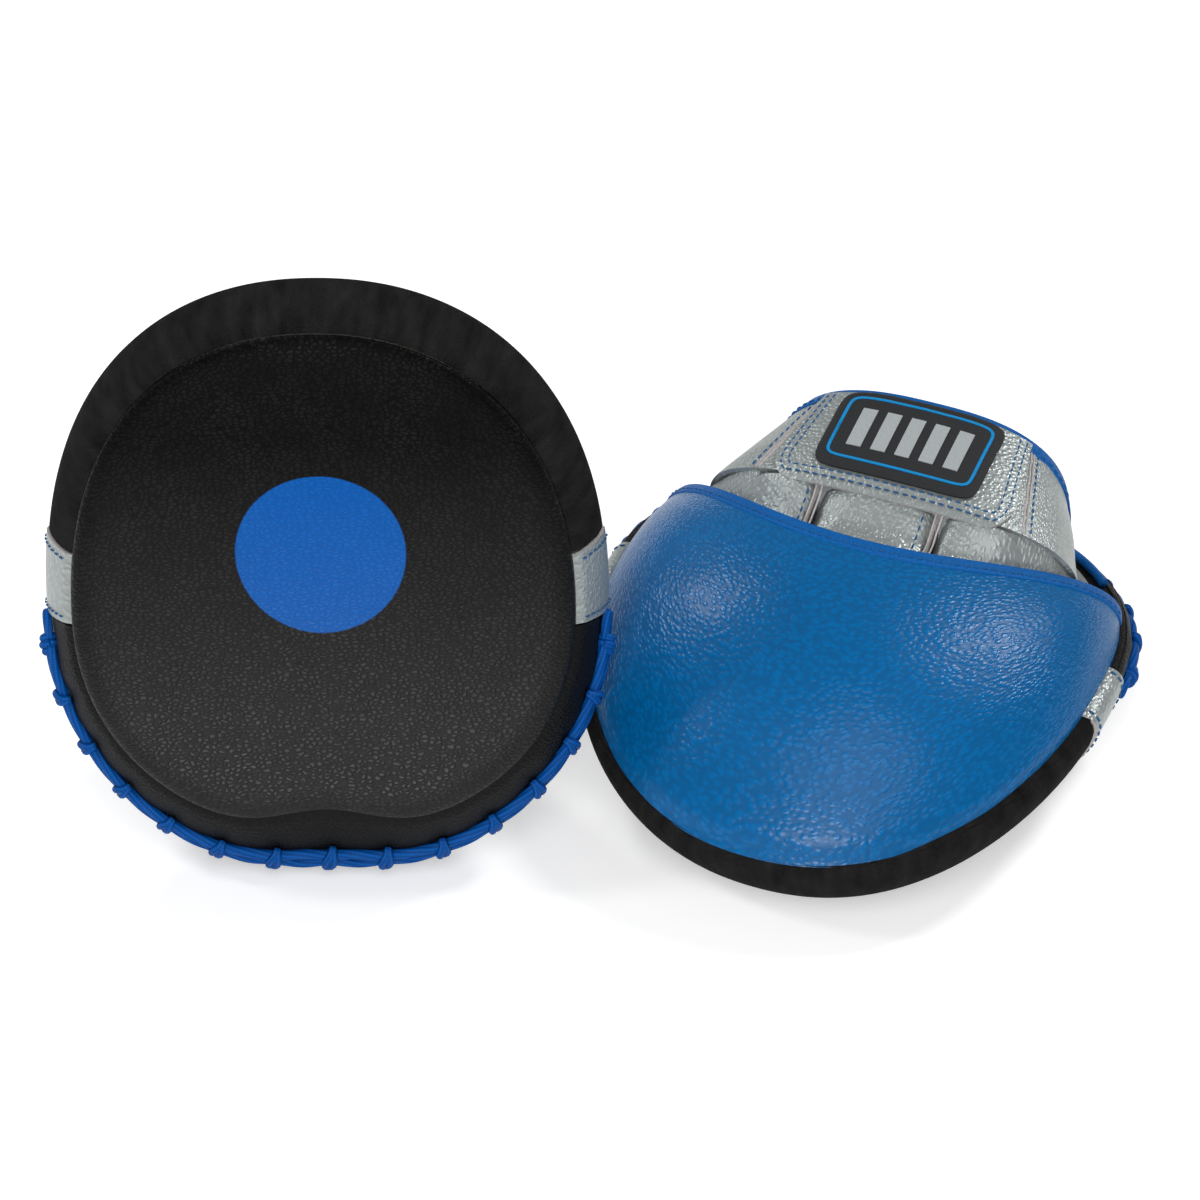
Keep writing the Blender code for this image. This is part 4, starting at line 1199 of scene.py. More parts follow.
class MITTS_OT_laces(MakesBoth, bpy.types.Operator):
    """Makes the two-strand lace along each wrist roll, with its hitches and knots"""

    bl_idname = "mitts.laces"
    bl_label = "Laces"

    def make(self, mitt):
        angles = lace_angles(STEPS_PER_HITCH)
        here, depth, normal = wall_frames(angles)
        between = np.sin(math.pi * np.arange(len(angles)) / STEPS_PER_HITCH) ** 2
        lift = LACE_LIFT * LACE_RADIUS + LACE_ARCH * between
        pieces = []
        for way in (-1, 1):
            spread = way * (LACE_SPREAD + LACE_LENS * between)
            run = here + normal * lift[:, None] + depth * spread[:, None]
            pieces.append(make_tube(mitt, "strand", run, normal, LACE_RADIUS, STRAND_SIDES))
        frames = list(zip(here, depth, normal, angles))
        for place in frames[STEPS_PER_HITCH:-STEPS_PER_HITCH:STEPS_PER_HITCH]:
            for step in (-HITCH_STEP, HITCH_STEP):
                pieces.append(self.hitch(mitt, *place, step))
        # The angles fall along the lace, so past its start they rise.
        for place, way in ((frames[0], 1.0), (frames[-1], -1.0)):
            pieces.extend(self.knot(mitt, *place, way))
        lace = join(pieces, mitt.body("lace_cord"))
        lace.data.materials.append(finish("lace"))
        attach(lace, mitt, "lace")

    def hitch(self, mitt, here, depth, normal, angle, step):
        """A turn of lace that binds the two strands and goes into the leather at both ends."""
        turns = np.linspace(-HITCH_FOOT_TURN, math.pi + HITCH_FOOT_TURN, HITCH_POINTS)
        along = np.array([-math.sin(angle), math.cos(angle), 0.0])
        rise = HITCH_LIFT * HITCH_RADIUS + HITCH_RISE * LACE_RADIUS * np.sin(turns)
        run = here + np.outer(HITCH_HALF_SPAN * np.cos(turns), depth) + np.outer(rise, normal)
        run = run + np.outer(step * np.sin(turns) ** 2 + HITCH_SLANT * np.cos(turns), along)
        return make_tube(mitt, "hitch", run, along, HITCH_RADIUS, CORD_SIDES)

    def knot(self, mitt, here, depth, normal, angle, way):
        """A barrel knot: three turns of lace round the strands, and a short loop left over along the wall."""
        pieces = []
        along = np.cross(depth, normal)
        if along[1] < 0:
            along = -along
        centre = here + normal * KNOT_LIFT * KNOT_SIZE
        turns = np.linspace(0, 2 * math.pi, KNOT_POINTS)
        for step, swell in KNOT_TURNS:
            size = KNOT_SIZE * swell
            ring = np.outer(size * np.cos(turns), depth) + np.outer(size * np.sin(turns), normal)
            lean = np.outer(KNOT_LEAN * np.cos(turns), along)
            run = centre + along * step * HITCH_RADIUS * KNOT_PITCH + ring + lean
            pieces.append(make_tube(mitt, "knot", run, along, HITCH_RADIUS, CORD_SIDES))
        turns = np.linspace(-LOOP_TURN, LOOP_TURN, LOOP_POINTS)
        reach = LOOP_REACH + LOOP_HALF_LENGTH * np.cos(turns)
        foot, deep, out = wall_frames(angle + way * reach / PAD_HALF_WIDTH)
        loop = foot + out * LOOP_LIFT * LACE_RADIUS + deep * LOOP_HALF_WIDTH * np.sin(turns)[:, None]
        pieces.append(make_tube(mitt, "loop", loop, out, HITCH_RADIUS, CORD_SIDES))
        return pieces


def hood_half_width():
    return half_width_at(HOOD_CORNER_Y) - HOOD_SIDE_INSET


def lip_arch(beside):
    """Y and height of the hood's lip, at the square of a share of its half width."""
    middle = clamp(1 - beside)
    return mix(HOOD_CORNER_Y, HOOD_LIP_Y, middle), HOOD_RISE * middle**ARCH_POWER


def hood_inside(u, v):
    """Inside of the hood: u across the lip from -1 to 1, v from the lip, 0, to the sewn edge, 1."""
    across = np.sin(u * HALF_PI)
    lip_x = hood_half_width() * across
    lip_y, rise = lip_arch(across**2)
    sewn_from = angle_at(HOOD_CORNER_Y + 4 * HOOD_BINDING_RADIUS)
    angles = mix(HALF_PI, sewn_from, u)
    inset = mix(HOOD_EDGE_INSET, HOOD_SIDE_INSET, np.cos(angles) ** 2)
    edge = wall(angles, 0.0, -inset)
    swell = (1 - v**HOOD_FALL_POWER) * (1 + HOOD_FULLNESS * v)
    base = SIDE_GAP - HOOD_TUCK * smooth(gone(v, *HOOD_TUCK_RUN))
    return np.stack([mix(lip_x, edge[:, 0], v), mix(lip_y, edge[:, 1], v), base + rise * swell], 1)


def hood_surface(low_v, high_v, width=1.0, drop=0.0):
    def surface(u, v):
        share = mix(low_v, high_v, along_grid(v))
        flat = hood_inside(u * width, share)
        fade = np.sin(math.pi * clamp(share)) ** 0.5
        flat[:, 2] += waves(flat, HOOD_WAVES) * fade - drop
        return flat, np.stack([HOOD_SPAN * u, HOOD_RUN * share], 1)

    return surface


def lip_frame():
    """Points along the hood's lip, the ways into the leather and the outward normals."""
    u = np.linspace(-LIP_REACH, LIP_REACH, LIP_POINTS)
    here = hood_inside(u, np.zeros_like(u))
    return here, *edge_frame(here, hood_inside(u, np.full_like(u, LIP_DEPTH)), UP)


def tape_section(reach, half):
    """Section of a folded tape, as steps into the leather and along its normal from mid-thickness."""
    over = [
        (reach, half - 0.0002),
        (reach - 0.0003, half + 0.0005),
        (reach - 0.0009, half + TAPE_RISE),
        (0.5 * reach, half + TAPE_RISE),
        (0.0, half + TAPE_RISE),
        (-0.55 * TAPE_FOLD, half + 0.0006),
        (-0.85 * TAPE_FOLD, 0.70 * half + 0.0002),
        (-0.97 * TAPE_FOLD, 0.35 * half),
    ]
    return np.array(over + [(-TAPE_FOLD, 0.0)] + [(inward, -out) for inward, out in reversed(over)])


def make_tape(mitt, name, edge, into, normal, section, lowest):
    """A tape folded over an edge, given as flat points with their directions."""
    columns, rows = len(edge) - 1, TAPE_ROWS * (len(section) - 1)
    obj, u, v = add_grid(mitt.body(name), columns, rows)
    column = step_of(u, len(edge))
    place = along_grid(v) * (len(section) - 1)
    inward, out = (np.interp(place, np.arange(len(section)), side)[:, None] for side in section.T)
    flat = edge[column] + into[column] * inward + normal[column] * out
    flat[:, 2] = np.maximum(flat[:, 2], lowest)
    world = mitt.place(flat)
    shape(obj, world, np.stack([run_lengths(edge)[column], place * TAPE_STEP], 1))
    middle = edge[column] + into[column] * 0.5 * section[:, 0].max()
    face_outwards(obj.data, world - mitt.place(middle))
    extent = sheet_span(obj.data, columns, rows)
    obj.data.materials.append(finish("tape"))
    thicken(obj, TAPE_THICKNESS, outwards=False)
    bpy.ops.object.shade_smooth()
    declare_sheet(mitt, name)
    return obj


class MITTS_OT_hoods(MakesBoth, bpy.types.Operator):
    """Makes the blue finger hoods with their linings and folded lip tapes"""

    bl_idname = "mitts.hoods"
    bl_label = "Hoods"

    def make(self, mitt):
        whole = hood_surface(0.0, 1.0)
        full = {"outwards": True, "padded": HOOD_FILL}
        hood = make_sheet(mitt, "hood_leather", whole, (120, 72), HOOD_LEATHER, upwards, ["hood"], **full)
        attach(hood, mitt, "finger_hood", "hood_edge")
        inner = hood_surface(LINING_START, LINING_SHARE, LINING_SHARE, HOOD_LINING_GAP)
        lining = make_sheet(
            mitt, "hood_lining_knit", inner, (64, 40), HOOD_LINING, upwards, ["lining"], padded=LINING_FILL
        )
        attach(lining, mitt, "hood_lining", "hood_edge")
        edge, into, normal = lip_frame()
        edge = edge + normal * HOOD_LEATHER / 2
        section = tape_section(LIP_TAPE_REACH, LIP_TAPE_HALF)
        tape = make_tape(mitt, "lip_tape", edge, into, normal, section, LIP_FLOOR)
        attach(tape, mitt, "hood_binding", "hood_edge")


def glove_outside(u, v, lift=0.0):
    """Outside of the hand pocket: u across the arch from -1 to 1, v from the knuckles, 0, to the cuff, 1."""
    turn = u * HALF_PI
    beside = signed_power(np.sin(turn), ARCH_WIDTH_POWER)
    tall = clamp(np.cos(turn)) ** ARCH_POWER
    cuff_y = mix(CUFF_BASE_Y, CUFF_TOP_Y, tall)
    front_y = KNUCKLE_Y - SIDE_SETBACK * (1 - tall)
    half_width = mix(KNUCKLE_HALF_WIDTH, CUFF_HALF_WIDTH, v)
    height = mix(KNUCKLE_HEIGHT, CUFF_HEIGHT, v)
    x = (half_width + lift * np.abs(beside)) * beside
    return np.stack([x, mix(front_y, cuff_y, v), GLOVE_BASE + (height + lift) * tall], 1)


def backhand_place(x, y, lift):
    """Point over the backhand at a flat place, lifted off its leather."""
    v = (y - KNUCKLE_Y) / (CUFF_TOP_Y - KNUCKLE_Y)
    share = clamp(np.abs(x) / mix(KNUCKLE_HALF_WIDTH, CUFF_HALF_WIDTH, v)) ** (1 / ARCH_WIDTH_POWER)
    return glove_outside(np.sign(x) * np.arcsin(share) / HALF_PI, v, lift)


def arch_share(x):
    """Height of the hand pocket's arch at the knuckles, as a share of its middle."""
    beside = clamp(np.abs(x) / KNUCKLE_HALF_WIDTH) ** (1 / ARCH_WIDTH_POWER)
    return clamp(1 - beside**2) ** (ARCH_POWER / 2)


def fall_share(y):
    """How much of the knuckles' height the fingers keep further forward."""
    tip_y = STALL_TIPS_Y[1]
    drop = (
        (KNUCKLE_Y, GLOVE_BASE + KNUCKLE_HEIGHT),
        (KNUCKLE_Y + KNUCKLE_ROUND, KNUCKLE_ROUND_HEIGHT),
        (STALL_DIVE_Y, STALL_DIVE_HEIGHT + STALL_DIVE_LIFT),
        (0.5 * (STALL_DIVE_Y + tip_y), 0.5 * (STALL_DIVE_HEIGHT + STALL_TIP_HEIGHT) + STALL_BELLY),
        (tip_y, STALL_TIP_HEIGHT),
    )
    smeared = [np.interp(y + step, *zip(*drop)) for step in np.linspace(-FALL_SMEAR, FALL_SMEAR, 9)]
    return (np.mean(smeared, axis=0) - GLOVE_BASE) / KNUCKLE_HEIGHT


def stall_top(x, y):
    """Height of the fingers' leather over the back."""
    return GLOVE_BASE + KNUCKLE_HEIGHT * fall_share(y) * arch_share(x)


def under_hood(flat):
    """Lowers points so that they pass beneath the hood's lip."""
    lip_y, rise = lip_arch(clamp((flat[:, 0] / hood_half_width()) ** 2))
    ceiling = SIDE_GAP + rise - LIP_CLEARANCE
    near = smooth((flat[:, 1] - lip_y + LIP_APPROACH) / LIP_APPROACH)
    flat[:, 2] += np.minimum(ceiling - flat[:, 2], 0.0) * near
    return flat


def glove_surface(across, along, lift=0.0, folds=0.0):
    """The pocket's outside between two shares across it and two along it, puffed up by its folds."""

    def surface(u, v):
        side = mix(*across, along_grid(u))
        flat = glove_outside(side, mix(*along, along_grid(v)), lift)
        uv = np.stack([side * GLOVE_SPAN, flat[:, 1]], 1)
        puff = waves(flat, GLOVE_WAVES) * folds
        border = np.sin(math.pi * along_grid(u)) * np.sin(math.pi * along_grid(v))
        return flat + unit(flat - GLOVE_MIDDLE) * (puff * border**0.5)[:, None], uv

    return surface


def gusset_surface(way):
    """Leather that carries one side of the pocket forward under the hood."""

    def surface(u, v):
        up_side = way * mix(BACKHAND_SHARE, 1, along_grid(u))
        ahead = along_grid(v)
        flat = glove_outside(up_side, np.full_like(up_side, GUSSET_START), GUSSET_LIFT)
        flat[:, 0] *= 1 - GUSSET_NARROWING * ahead**GUSSET_NARROWING_POWER
        flat[:, 1] += GUSSET_REACH * ahead
        flat[:, 2] = mix(GLOVE_BASE, flat[:, 2], fall_share(KNUCKLE_Y + GUSSET_REACH * ahead))
        uv = np.stack([up_side * GLOVE_SPAN, flat[:, 1]], 1)
        folds = waves(flat, GUSSET_WAVES)
        flat[:, 0] += way * GUSSET_FOLDS * folds * np.sin(math.pi * along_grid(u))
        return under_hood(flat), uv

    return surface


def flap_surface(u, v):
    """Flap over the backhand, with round corners at the knuckles."""
    along = along_grid(v)
    y = mix(FLAP_FRONT_Y, FLAP_REAR_Y, along)
    rounding = clamp(1 - along / FLAP_CORNER_SHARE)
    narrow = FLAP_CORNER * (1 - np.sqrt(clamp(1 - rounding**2)))
    x = (mix(FLAP_FRONT_HALF_WIDTH, FLAP_REAR_HALF_WIDTH, along) - narrow) * u
    flat = backhand_place(x, y, FLAP_LIFT)
    flat[:, 2] -= FLAP_DROP * clamp(1 - along / FLAP_DROP_SHARE) ** 2
    return flat, np.stack([x, y], 1)


class MITTS_OT_gloves(MakesBoth, bpy.types.Operator):
    """Makes the silver hand pockets: backhand, flap, sides, padding and cuff tape"""

    bl_idname = "mitts.gloves"
    bl_label = "Hand pockets"

    def make(self, mitt):
        leather = GLOVE_LEATHER * MODELLED
        top = glove_surface((-BACKHAND_SHARE, BACKHAND_SHARE), GLOVE_RUN, folds=BACKHAND_FOLDS)
        backhand = make_sheet(
            mitt, "backhand_leather", top, (72, 36), leather, upwards, ["silver"], padded=BACKHAND_FILL
        )
        attach(backhand, mitt, "backhand_panel", "glove")
        cut_silver = ["silver", "raw_edge"]
        flap = make_sheet(
            mitt, "backhand_flap", flap_surface, (72, 40), FLAP_LEATHER, upwards, cut_silver, outwards=True
        )
        attach(flap, mitt, hinge="glove")
        side = BACKHAND_SHARE + SIDE_GAP_SHARE
        for name, ends in (("outer_side", (side, 1.0)), ("thumb_side", (-1.0, -side))):
            surface = glove_surface(ends, GLOVE_RUN, folds=SIDE_FOLDS)
            piece = make_sheet(mitt, f"{name}_leather", surface, (56, 40), leather, sideways, ["silver"])
            attach(piece, mitt, f"{name}_panel", "glove_edge")
        for name, way in (("outer_gusset", 1.0), ("thumb_gusset", -1.0)):
            surface = gusset_surface(way)
            gusset = make_sheet(mitt, name, surface, (48, 40), GUSSET_LEATHER, sideways, ["silver"])
            attach(gusset, mitt, hinge="glove_edge")
        reach = PADDING_SHARE * BACKHAND_SHARE
        inner = glove_surface((-reach, reach), PADDING_RUN, PADDING_LIFT)
        full = {"padded": LINING_FILL}
        padding = make_sheet(
            mitt, "backhand_lining", inner, (36, 20), PADDING_THICKNESS, upwards, ["lining"], **full
        )
        attach(padding, mitt, "backhand_padding", "glove")
        self.cuff_tape(mitt)

    def cuff_tape(self, mitt):
        u = np.linspace(-CUFF_REACH, CUFF_REACH, CUFF_POINTS)
        edge, inside = (glove_outside(u, np.full_like(u, v), -GLOVE_LEATHER / 2) for v in (1.0, CUFF_INSIDE))
        into, normal = edge_frame(edge, inside, edge - CUFF_MIDDLE)
        section = tape_section(CUFF_TAPE_REACH, CUFF_TAPE_HALF)
        tape = make_tape(mitt, "cuff_tape", edge, into, normal, section, GLOVE_BASE)
        attach(tape, mitt, "cuff_binding", "glove_edge")


def stall_surface(slot):
    """One finger stall, which tapers to its tip and dives under the hood."""
    low_x, high_x = STALL_SEAMS_X[slot], STALL_SEAMS_X[slot + 1]
    middle, half = (low_x + high_x) / 2, (high_x - low_x) / 2 - STALL_GAP

    def surface(u, v):
        share = along_grid(v)
        y = mix(STALL_START_Y, STALL_TIPS_Y[slot], share)
        near_tip = gone(share, *STALL_TIP_RUN)
        size = np.sqrt(clamp(1 - STALL_TIP_CLOSING * near_tip**2))
        turn = u * HALF_PI
        x = middle + half * size * signed_power(np.sin(turn), STALL_WIDTH_POWER)
        sides = clamp(np.cos(turn))
        z = mix(SIDE_GAP, stall_top(x, y) * size, sides**STALL_SIDE_POWER) + STALL_CROWN * sides * size
        flat = np.stack([x, y, z], 1)
        flat[:, 2] += STALL_FOLDS * waves(flat, STALL_WAVES, slot) * sides * size
        return under_hood(flat), np.stack([x + STALL_GRAIN_STEP * slot, y * STALL_GRAIN_STRETCH], 1)

    return surface


class MITTS_OT_stalls(MakesBoth, bpy.types.Operator):
    """Makes the silver finger stalls and the raw seam edges between them"""

    bl_idname = "mitts.stalls"
    bl_label = "Finger stalls"

    def make(self, mitt):
        cut_silver = ["silver", "raw_edge"]
        for slot, name in enumerate(STALL_NAMES):
            surface, leather = stall_surface(slot), STALL_LEATHER * MODELLED
            stall = make_sheet(mitt, f"{name}_leather", surface, (44, 72), leather, upwards, cut_silver)
            attach(stall, mitt, name)
        stall_edges, glove_edges = [], []
        y = np.linspace(*STALL_EDGE_Y, SEAM_EDGE_POINTS)
        for seam in STALL_SEAMS_X[1:3]:
            for way in (-1, 1):
                x = np.full_like(y, seam + way * STALL_EDGE_GAP)
                line = under_hood(np.stack([x, y, stall_top(x, y) - STALL_EDGE_SINK], 1))
                lean = upwards(line) + (STALL_EDGE_LEAN * way, 0.0, 0.0)
                stall_edges.append(self.edge(mitt, line, lean, STALL_EDGE_HEIGHT))
        v = np.linspace(*GLOVE_EDGE_RUN, SEAM_EDGE_POINTS)
        for way in (-1, 1):
            for share in GLOVE_EDGE_SHARES:
                line, out = raised(glove_outside, GLOVE_EDGE_LIFT, np.full_like(v, way * share), v)
                glove_edges.append(self.edge(mitt, line, out, GLOVE_EDGE_HEIGHT))
        attach(join(stall_edges, mitt.body("stall_seam_edges")), mitt)
        sewn = join(glove_edges, mitt.body("backhand_seam_edges"))
        attach(sewn, mitt, hinge="glove")

    def edge(self, mitt, line, out, height):
        """A turned-out cut edge, which stands along a line of flat points."""
        obj, u, v = add_grid("seam_edge", len(line) - 1, 3)
        column = step_of(u, len(line))
        flat = line[column] + out[column] * (height * along_grid(v))[:, None]
        uv = flat[:, 1:]
        shifts = [ripple(flat, SEAM_EDGE_WAVE_SIZE, seed) for seed in SEAM_EDGE_SEEDS]
        shape(obj, mitt.place(flat + SEAM_EDGE_WAVE * np.stack(shifts, 1)), uv)
        obj.data.materials.append(finish("raw_edge"))
        thicken(obj, SEAM_EDGE_THICKNESS, outwards=True)
        bpy.ops.object.shade_smooth_by_angle(angle=SHARP_ANGLE)
        return obj


def palm_surface(u, v):
    y = mix(PALM_FRONT_Y, PALM_REAR_Y, along_grid(v))
    free = PALM_FRONT_HALF_WIDTH + (PALM_FRONT_Y - y)
    within = half_width_at(y - PALM_RIM_INSET) - PALM_RIM_INSET - PALM_TAPE_ROOM
    x = np.minimum(free, within) * u
    return np.stack([x, y, np.full_like(x, SEAT_GAP)], 1), np.stack([x, y], 1)


class MITTS_OT_palms(MakesBoth, bpy.types.Operator):
    """Makes the silver palm panels and their bindings"""

    bl_idname = "mitts.palms"
    bl_label = "Palm panels"

    def make(self, mitt):
        leather, looks = PALM_LEATHER * MODELLED, ["silver", "raw_edge"]
        panel = make_sheet(
            mitt, "palm_leather", palm_surface, (48, 40), leather, upwards, looks, outwards=True
        )
        attach(panel, mitt, "palm_panel")
        side = angle_at(CUFF_TOP_Y)
        run = wall(np.linspace(side, -math.pi - side, PALM_TAPE_POINTS), 0.0, -PALM_RIM_INSET)
        run[:, 2] = PALM_TAPE_HEIGHT
        tape = make_tube(mitt, mitt.body("palm_tape"), run, upwards(run), PALM_TAPE_RADIUS, STRAND_SIDES)
        tape.data.materials.append(finish("tape"))
        attach(tape, mitt, "palm_binding")


def badge_surface(u, v):
    """A patch on the backhand with round corners."""
    angles, radius = disc(u, v)
    across, along = rounded(angles, BADGE_POWER)
    x = radius * BADGE_HALF_WIDTH * across
    y = BADGE_MIDDLE_Y + radius * BADGE_HALF_LENGTH * along
    edge = gone(radius, *BADGE_EDGE_RUN) ** 2
    return backhand_place(x, y, BADGE_SEAT - BADGE_EDGE_DROP * edge), np.stack([x, y], 1)


def bar_surface(place):
    """A plain bar on the badge, so many pitches from its middle."""

    def surface(u, v):
        x = place * BAR_PITCH + u * BAR_HALF_SHARE * BAR_PITCH
        y = BADGE_MIDDLE_Y + v * BAR_HALF_LENGTH
        return backhand_place(x, y, BAR_LIFT), np.stack([x, y], 1)

    return surface


class MITTS_OT_badges(MakesBoth, bpy.types.Operator):
    """Makes the rubber badges with a raised line and plain bars"""

    bl_idname = "mitts.badges"
    bl_label = "Badges"

    def make(self, mitt):
        full = {"outwards": True, "padded": RUBBER_FILL}
        badge = make_sheet(
            mitt, "badge_rubber", badge_surface, (48, 32), BADGE_RUBBER, upwards, ["badge"], **full
        )
        attach(badge, mitt, "badge", "glove")
        across, along = rounded(np.linspace(0, 2 * math.pi, BADGE_LINE_POINTS), BADGE_LINE_POWER)
        x = (BADGE_HALF_WIDTH - BADGE_LINE_INSET) * across
        y = BADGE_MIDDLE_Y + (BADGE_HALF_LENGTH - BADGE_LINE_INSET) * along
        run = backhand_place(x, y, BADGE_LINE_LIFT)
        name = mitt.body("badge_line")
        line = make_tube(mitt, name, run, upwards(run), BADGE_LINE_RADIUS, LINE_SIDES, BADGE_LINE_SQUASH)
        line.data.materials.append(finish("badge_line"))
        attach(line, mitt, "badge_outline", "glove")
        for k in range(BAR_COUNT):
            surface = bar_surface(k - (BAR_COUNT - 1) / 2)
            bar = make_sheet(
                mitt, f"badge_bar_{k}", surface, (6, 16), BAR_RUBBER, upwards, ["badge_bar"], **full
            )
            attach(bar, mitt, hinge="glove")


def stitch_shape():
    """Points and faces of one stitch, a spindle along X with a half length and a radius of 1."""
    bpy.ops.object.select_all(action="DESELECT")
    bpy.ops.mesh.primitive_uv_sphere_add(segments=6, ring_count=5, radius=1.0)
    obj = bpy.context.object
    points = read_points(obj.data)[:, [2, 0, 1]]
    faces = [tuple(poly.vertices) for poly in obj.data.polygons]
    bpy.data.objects.remove(obj)
    # The sphere's own order of faces changes from run to run, so they are put in a fixed one.
    starts = [face.index(min(face)) for face in faces]
    return points, sorted(face[start:] + face[:start] for face, start in zip(faces, starts))


def stitch_rows(mitt, name, rows):
    """Sews rows of stitches along runs of flat points with their outward directions."""
    spindle, spindle_faces = stitch_shape()
    length, gap, radius = sizes().stitch_length, sizes().stitch_gap, sizes().thread_radius
    points, faces = [], []
    for run, out in rows:
        world, lift = mitt.carry(run, out)
        along = run_lengths(world)
        count = max(1, int(along[-1] / (length + gap)))
        for mark in (np.arange(count) + 0.5) * along[-1] / count:
            ends = [mark - length / 2, mark + length / 2]
            first, last = np.array([[np.interp(end, along, axis) for axis in world.T] for end in ends])
            up = np.array([np.interp(mark, along, axis) for axis in lift.T])
            ahead = unit(last - first)
            up = unit(up - ahead * (up @ ahead))
            axes = np.stack([ahead * length / 2, np.cross(ahead, up) * radius, up * radius])
            start = len(points) * len(spindle)
            points.append(spindle @ axes + (first + last) / 2)
            faces.extend(tuple(start + k for k in face) for face in spindle_faces)
    mesh = bpy.data.meshes.new(mitt.body(name))
    mesh.from_pydata(np.concatenate(points).tolist(), [], faces)
    obj = bpy.data.objects.new(mitt.body(name), mesh)
    bpy.context.scene.collection.objects.link(obj)
    mesh.materials.append(finish("thread"))
    mesh.shade_smooth()
    return obj


class MITTS_OT_threads(MakesBoth, bpy.types.Operator):
    """Sews the visible stitching of the tapes, the flap, the pocket and the side patches"""

    bl_idname = "mitts.threads"
    bl_label = "Stitching"

    def make(self, mitt):
        seams = (
            ("lip_stitches", self.lip_rows(), "hood_edge"),
            ("flap_stitches", self.flap_rows(), "glove"),
            ("cuff_stitches", self.cuff_rows(), "glove"),
            ("stall_stitches", self.stall_rows(), None),
            ("patch_stitches", self.patch_rows(), None),
        )
        for name, rows, hinge in seams:
            attach(stitch_rows(mitt, name, rows), mitt, hinge=hinge)

    def lip_rows(self):
        """A row along the hood's lip tape."""
        edge, into, normal = lip_frame()
        lip = edge + normal * LIP_STITCH_LIFT + into * LIP_STITCH_INSET
        return [(lip[LIP_STITCH_TRIM], normal[LIP_STITCH_TRIM])]

    def flap_rows(self):
        """Two rows round the flap's free edge."""
        rows = []
        count = STITCH_ROW_POINTS
        down = np.linspace(FLAP_STITCH_END, 0.0, count)
        v = np.concatenate([down, np.zeros(count), np.linspace(0.0, FLAP_STITCH_END, count)])
        u = np.concatenate([np.full(count, -1.0), np.linspace(-1, 1, count), np.full(count, 1.0)])
        x, y = flap_surface(u, 2 * v - 1)[1].T
        for inset in FLAP_STITCH_INSETS:
            inner_x = x * (1 - inset / FLAP_MEAN_HALF_WIDTH)
            inner_y = np.minimum(y, FLAP_FRONT_Y - inset)
            run, out = raised(backhand_place, FLAP_STITCH_LIFT, inner_x, inner_y)
            keep = np.concatenate([[True], np.linalg.norm(np.diff(run, axis=0), axis=1) > SAME_POINT])
            rows.append((run[keep], out[keep]))
        return rows

    def cuff_rows(self):
        """A row along the cuff tape and one beside each seam of the backhand."""
        u = np.linspace(-CUFF_STITCH_REACH, CUFF_STITCH_REACH, 2 * STITCH_ROW_POINTS)
        rows = [raised(glove_outside, CUFF_STITCH_LIFT, u, np.full_like(u, CUFF_STITCH_SHARE))]
        v = np.linspace(*SIDE_STITCH_RUN, STITCH_ROW_POINTS)
        for way in (-1, 1):
            rows.append(raised(glove_outside, SIDE_STITCH_LIFT, np.full_like(v, way * SIDE_STITCH_SHARE), v))
        return rows

    def stall_rows(self):
        """A row beside each seam between the stalls."""
        rows = []
        y = np.linspace(*STALL_STITCH_Y, STITCH_ROW_POINTS)
        for slot in (1, 2):
            v = 2 * (y - STALL_START_Y) / (STALL_TIPS_Y[slot] - STALL_START_Y) - 1
            run = stall_surface(slot)(np.full_like(y, STALL_STITCH_SHARE), v)[0]
            run[:, 2] += STALL_STITCH_LIFT
            rows.append((run, upwards(run)))
        return rows

    def patch_rows(self):
        """A row along both edges of each side patch."""
        rows = []
        share = np.linspace(*PATCH_STITCH_RUN, STITCH_ROW_POINTS)
        front = angle_at(PATCH_FRONT_Y) - PATCH_STITCH_MARGIN
        rear = angle_at(PATCH_REAR_Y) + PATCH_STITCH_MARGIN
        for angle in (front, math.pi - front, rear, math.pi - rear):
            angles = np.full_like(share, angle)
            rows.append(raised(band_point, PATCH_STITCH_LIFT, angles, share, HOOD_WRAP))
        return rows


class MITTS_OT_fillings(MakesBoth, bpy.types.Operator):
    """Gives the foam and the backing board inside the pads their finish"""

    bl_idname = "mitts.fillings"
    bl_label = "Fillings"

    def make(self, mitt):
        for name, look in (("impact_foam", "foam"), ("core_foam", "foam"), ("backing_board", "board")):
            solid = frame["nodes"][mitt.body(name)]
            solid.data.materials.clear()
            solid.data.materials.append(finish(look))


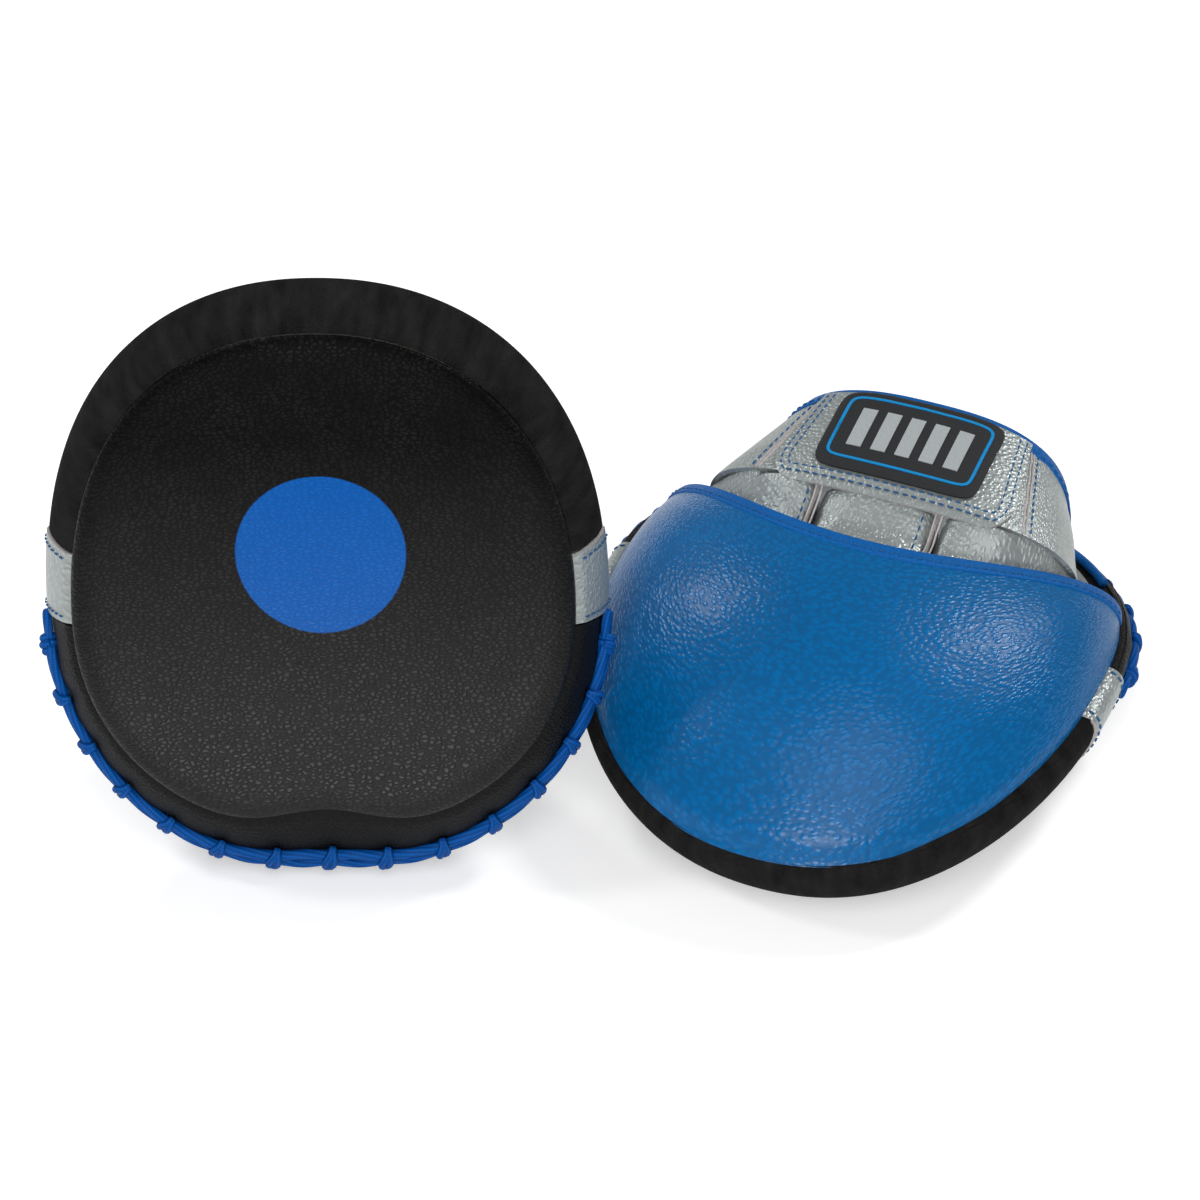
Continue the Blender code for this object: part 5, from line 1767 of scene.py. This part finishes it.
class MITTS_OT_stage(bpy.types.Operator):
    """Lays a pale floor and sets the studio light and the camera"""

    bl_idname = "mitts.stage"
    bl_label = "Stage"

    def execute(self, context):
        scene = context.scene
        scene.view_settings.view_transform = "Standard"
        bpy.ops.object.select_all(action="DESELECT")
        bpy.ops.mesh.primitive_plane_add(size=FLOOR_SIZE, location=(0.0, 0.0, FLOOR_HEIGHT))
        floor = context.object
        floor.name = "floor"
        floor.data.materials.append(self.floor_finish())
        self.sky(scene)
        for name, (place, size, power) in LAMPS.items():
            self.lamp(scene, name, Vector(place), size, power)
        self.camera(scene)
        return {"FINISHED"}

    def seen(self, tree):
        """1 for rays that show the floor itself, 0 for those that light the object."""
        path = node(tree, "LightPath", {})
        rays = {0: path["Is Camera Ray"], 1: path["Is Glossy Ray"]}
        direct = node(tree, "Math", rays, operation="ADD", use_clamp=True)[0]
        rays = {0: direct, 1: path["Is Transmission Ray"]}
        return node(tree, "Math", rays, operation="ADD", use_clamp=True)[0]

    def floor_finish(self):
        # Matt white paper sweep: shown white, with the object's shadow kept on it.
        base = linear("F2F2F2")
        material, tree, shader = new_material("white paper", base, roughness=0.95, specular_ior_level=0.0)
        place = node(tree, "TexCoord", {})["Object"]
        fibres = node(tree, "TexNoise", {"Vector": place, "Scale": 60.0})["Fac"]
        colour = node(tree, "Mix", shades(fibres, base, dark=0.99, light=1.01), data_type="RGBA")[MIXED]
        feed(tree, shader, {"Base Color": colour})
        reach = node(tree, "VectorMath", {0: place}, operation="LENGTH")["Value"]
        rise = span(reach, low=FLOOR_GLOW_NEAR, high=FLOOR_GLOW_FAR, first=FLOOR_GLOW)
        far = node(tree, "MapRange", rise)["Result"]
        strength = node(tree, "Math", {0: self.seen(tree), 1: far}, operation="MULTIPLY")[0]
        glow = node(tree, "Emission", {"Strength": strength})["Emission"]
        both = node(tree, "AddShader", {0: shader.outputs["BSDF"], 1: glow})[0]
        feed(tree, tree.nodes["Material Output"], {"Surface": both})
        return material

    def sky(self, scene):
        # A dim, even studio, so that the leather keeps its own colour between the lamps' highlights.
        world = bpy.data.worlds.new("studio")
        world.use_nodes = True
        background = world.node_tree.nodes["Background"]
        background.inputs["Color"].default_value = (1.0, 1.0, 1.0, 1.0)
        background.inputs["Strength"].default_value = SKY_LIGHT
        scene.world = world

    def lamp(self, scene, name, place, size, power):
        light = bpy.data.lights.new(name, "AREA")
        light.shape = "DISK"
        light.size = size
        light.energy = power
        obj = bpy.data.objects.new(name, light)
        obj.location = place
        obj.rotation_euler = (LAMP_AIM - place).to_track_quat("-Z", "Y").to_euler()
        scene.collection.objects.link(obj)

    def camera(self, scene):
        data = bpy.data.cameras.new("camera")
        data.sensor_width = CAMERA_SENSOR
        data.lens = CAMERA_LENS
        camera = bpy.data.objects.new("camera", data)
        away = Vector((0.0, -math.cos(CAMERA_ELEVATION), math.sin(CAMERA_ELEVATION)))
        camera.location = CAMERA_AIM + away * CAMERA_DISTANCE
        camera.rotation_euler = (-away).to_track_quat("-Z", "Y").to_euler()
        scene.collection.objects.link(camera)
        scene.camera = camera


class MITTS_PT_panel(bpy.types.Panel):
    """Lists the steps, colours and sizes of the mitts"""

    bl_label = "Focus mitts"
    bl_space_type = "VIEW_3D"
    bl_region_type = "UI"
    bl_category = "Mitts"

    def draw(self, context):
        for operator in OPERATORS:
            self.layout.operator(operator.bl_idname)
        for group in (context.scene.mitt_colours, context.scene.mitt_sizes):
            for name in group.__annotations__:
                self.layout.prop(group, name)


OPERATORS = (
    MITTS_OT_faces,
    MITTS_OT_rims,
    MITTS_OT_laces,
    MITTS_OT_hoods,
    MITTS_OT_gloves,
    MITTS_OT_stalls,
    MITTS_OT_palms,
    MITTS_OT_badges,
    MITTS_OT_threads,
    MITTS_OT_fillings,
    MITTS_OT_stage,
)
CLASSES = (MittColours, MittSizes, *OPERATORS, MITTS_PT_panel)


def register():
    for cls in CLASSES:
        bpy.utils.register_class(cls)
    bpy.types.Scene.mitt_colours = PointerProperty(type=MittColours)
    bpy.types.Scene.mitt_sizes = PointerProperty(type=MittSizes)


def unregister():
    del bpy.types.Scene.mitt_sizes
    del bpy.types.Scene.mitt_colours
    for cls in reversed(CLASSES):
        bpy.utils.unregister_class(cls)


def main():
    register()
    for operator in OPERATORS:
        group, name = operator.bl_idname.split(".")
        getattr(getattr(bpy.ops, group), name)()


if __name__ == "__main__":
    main()
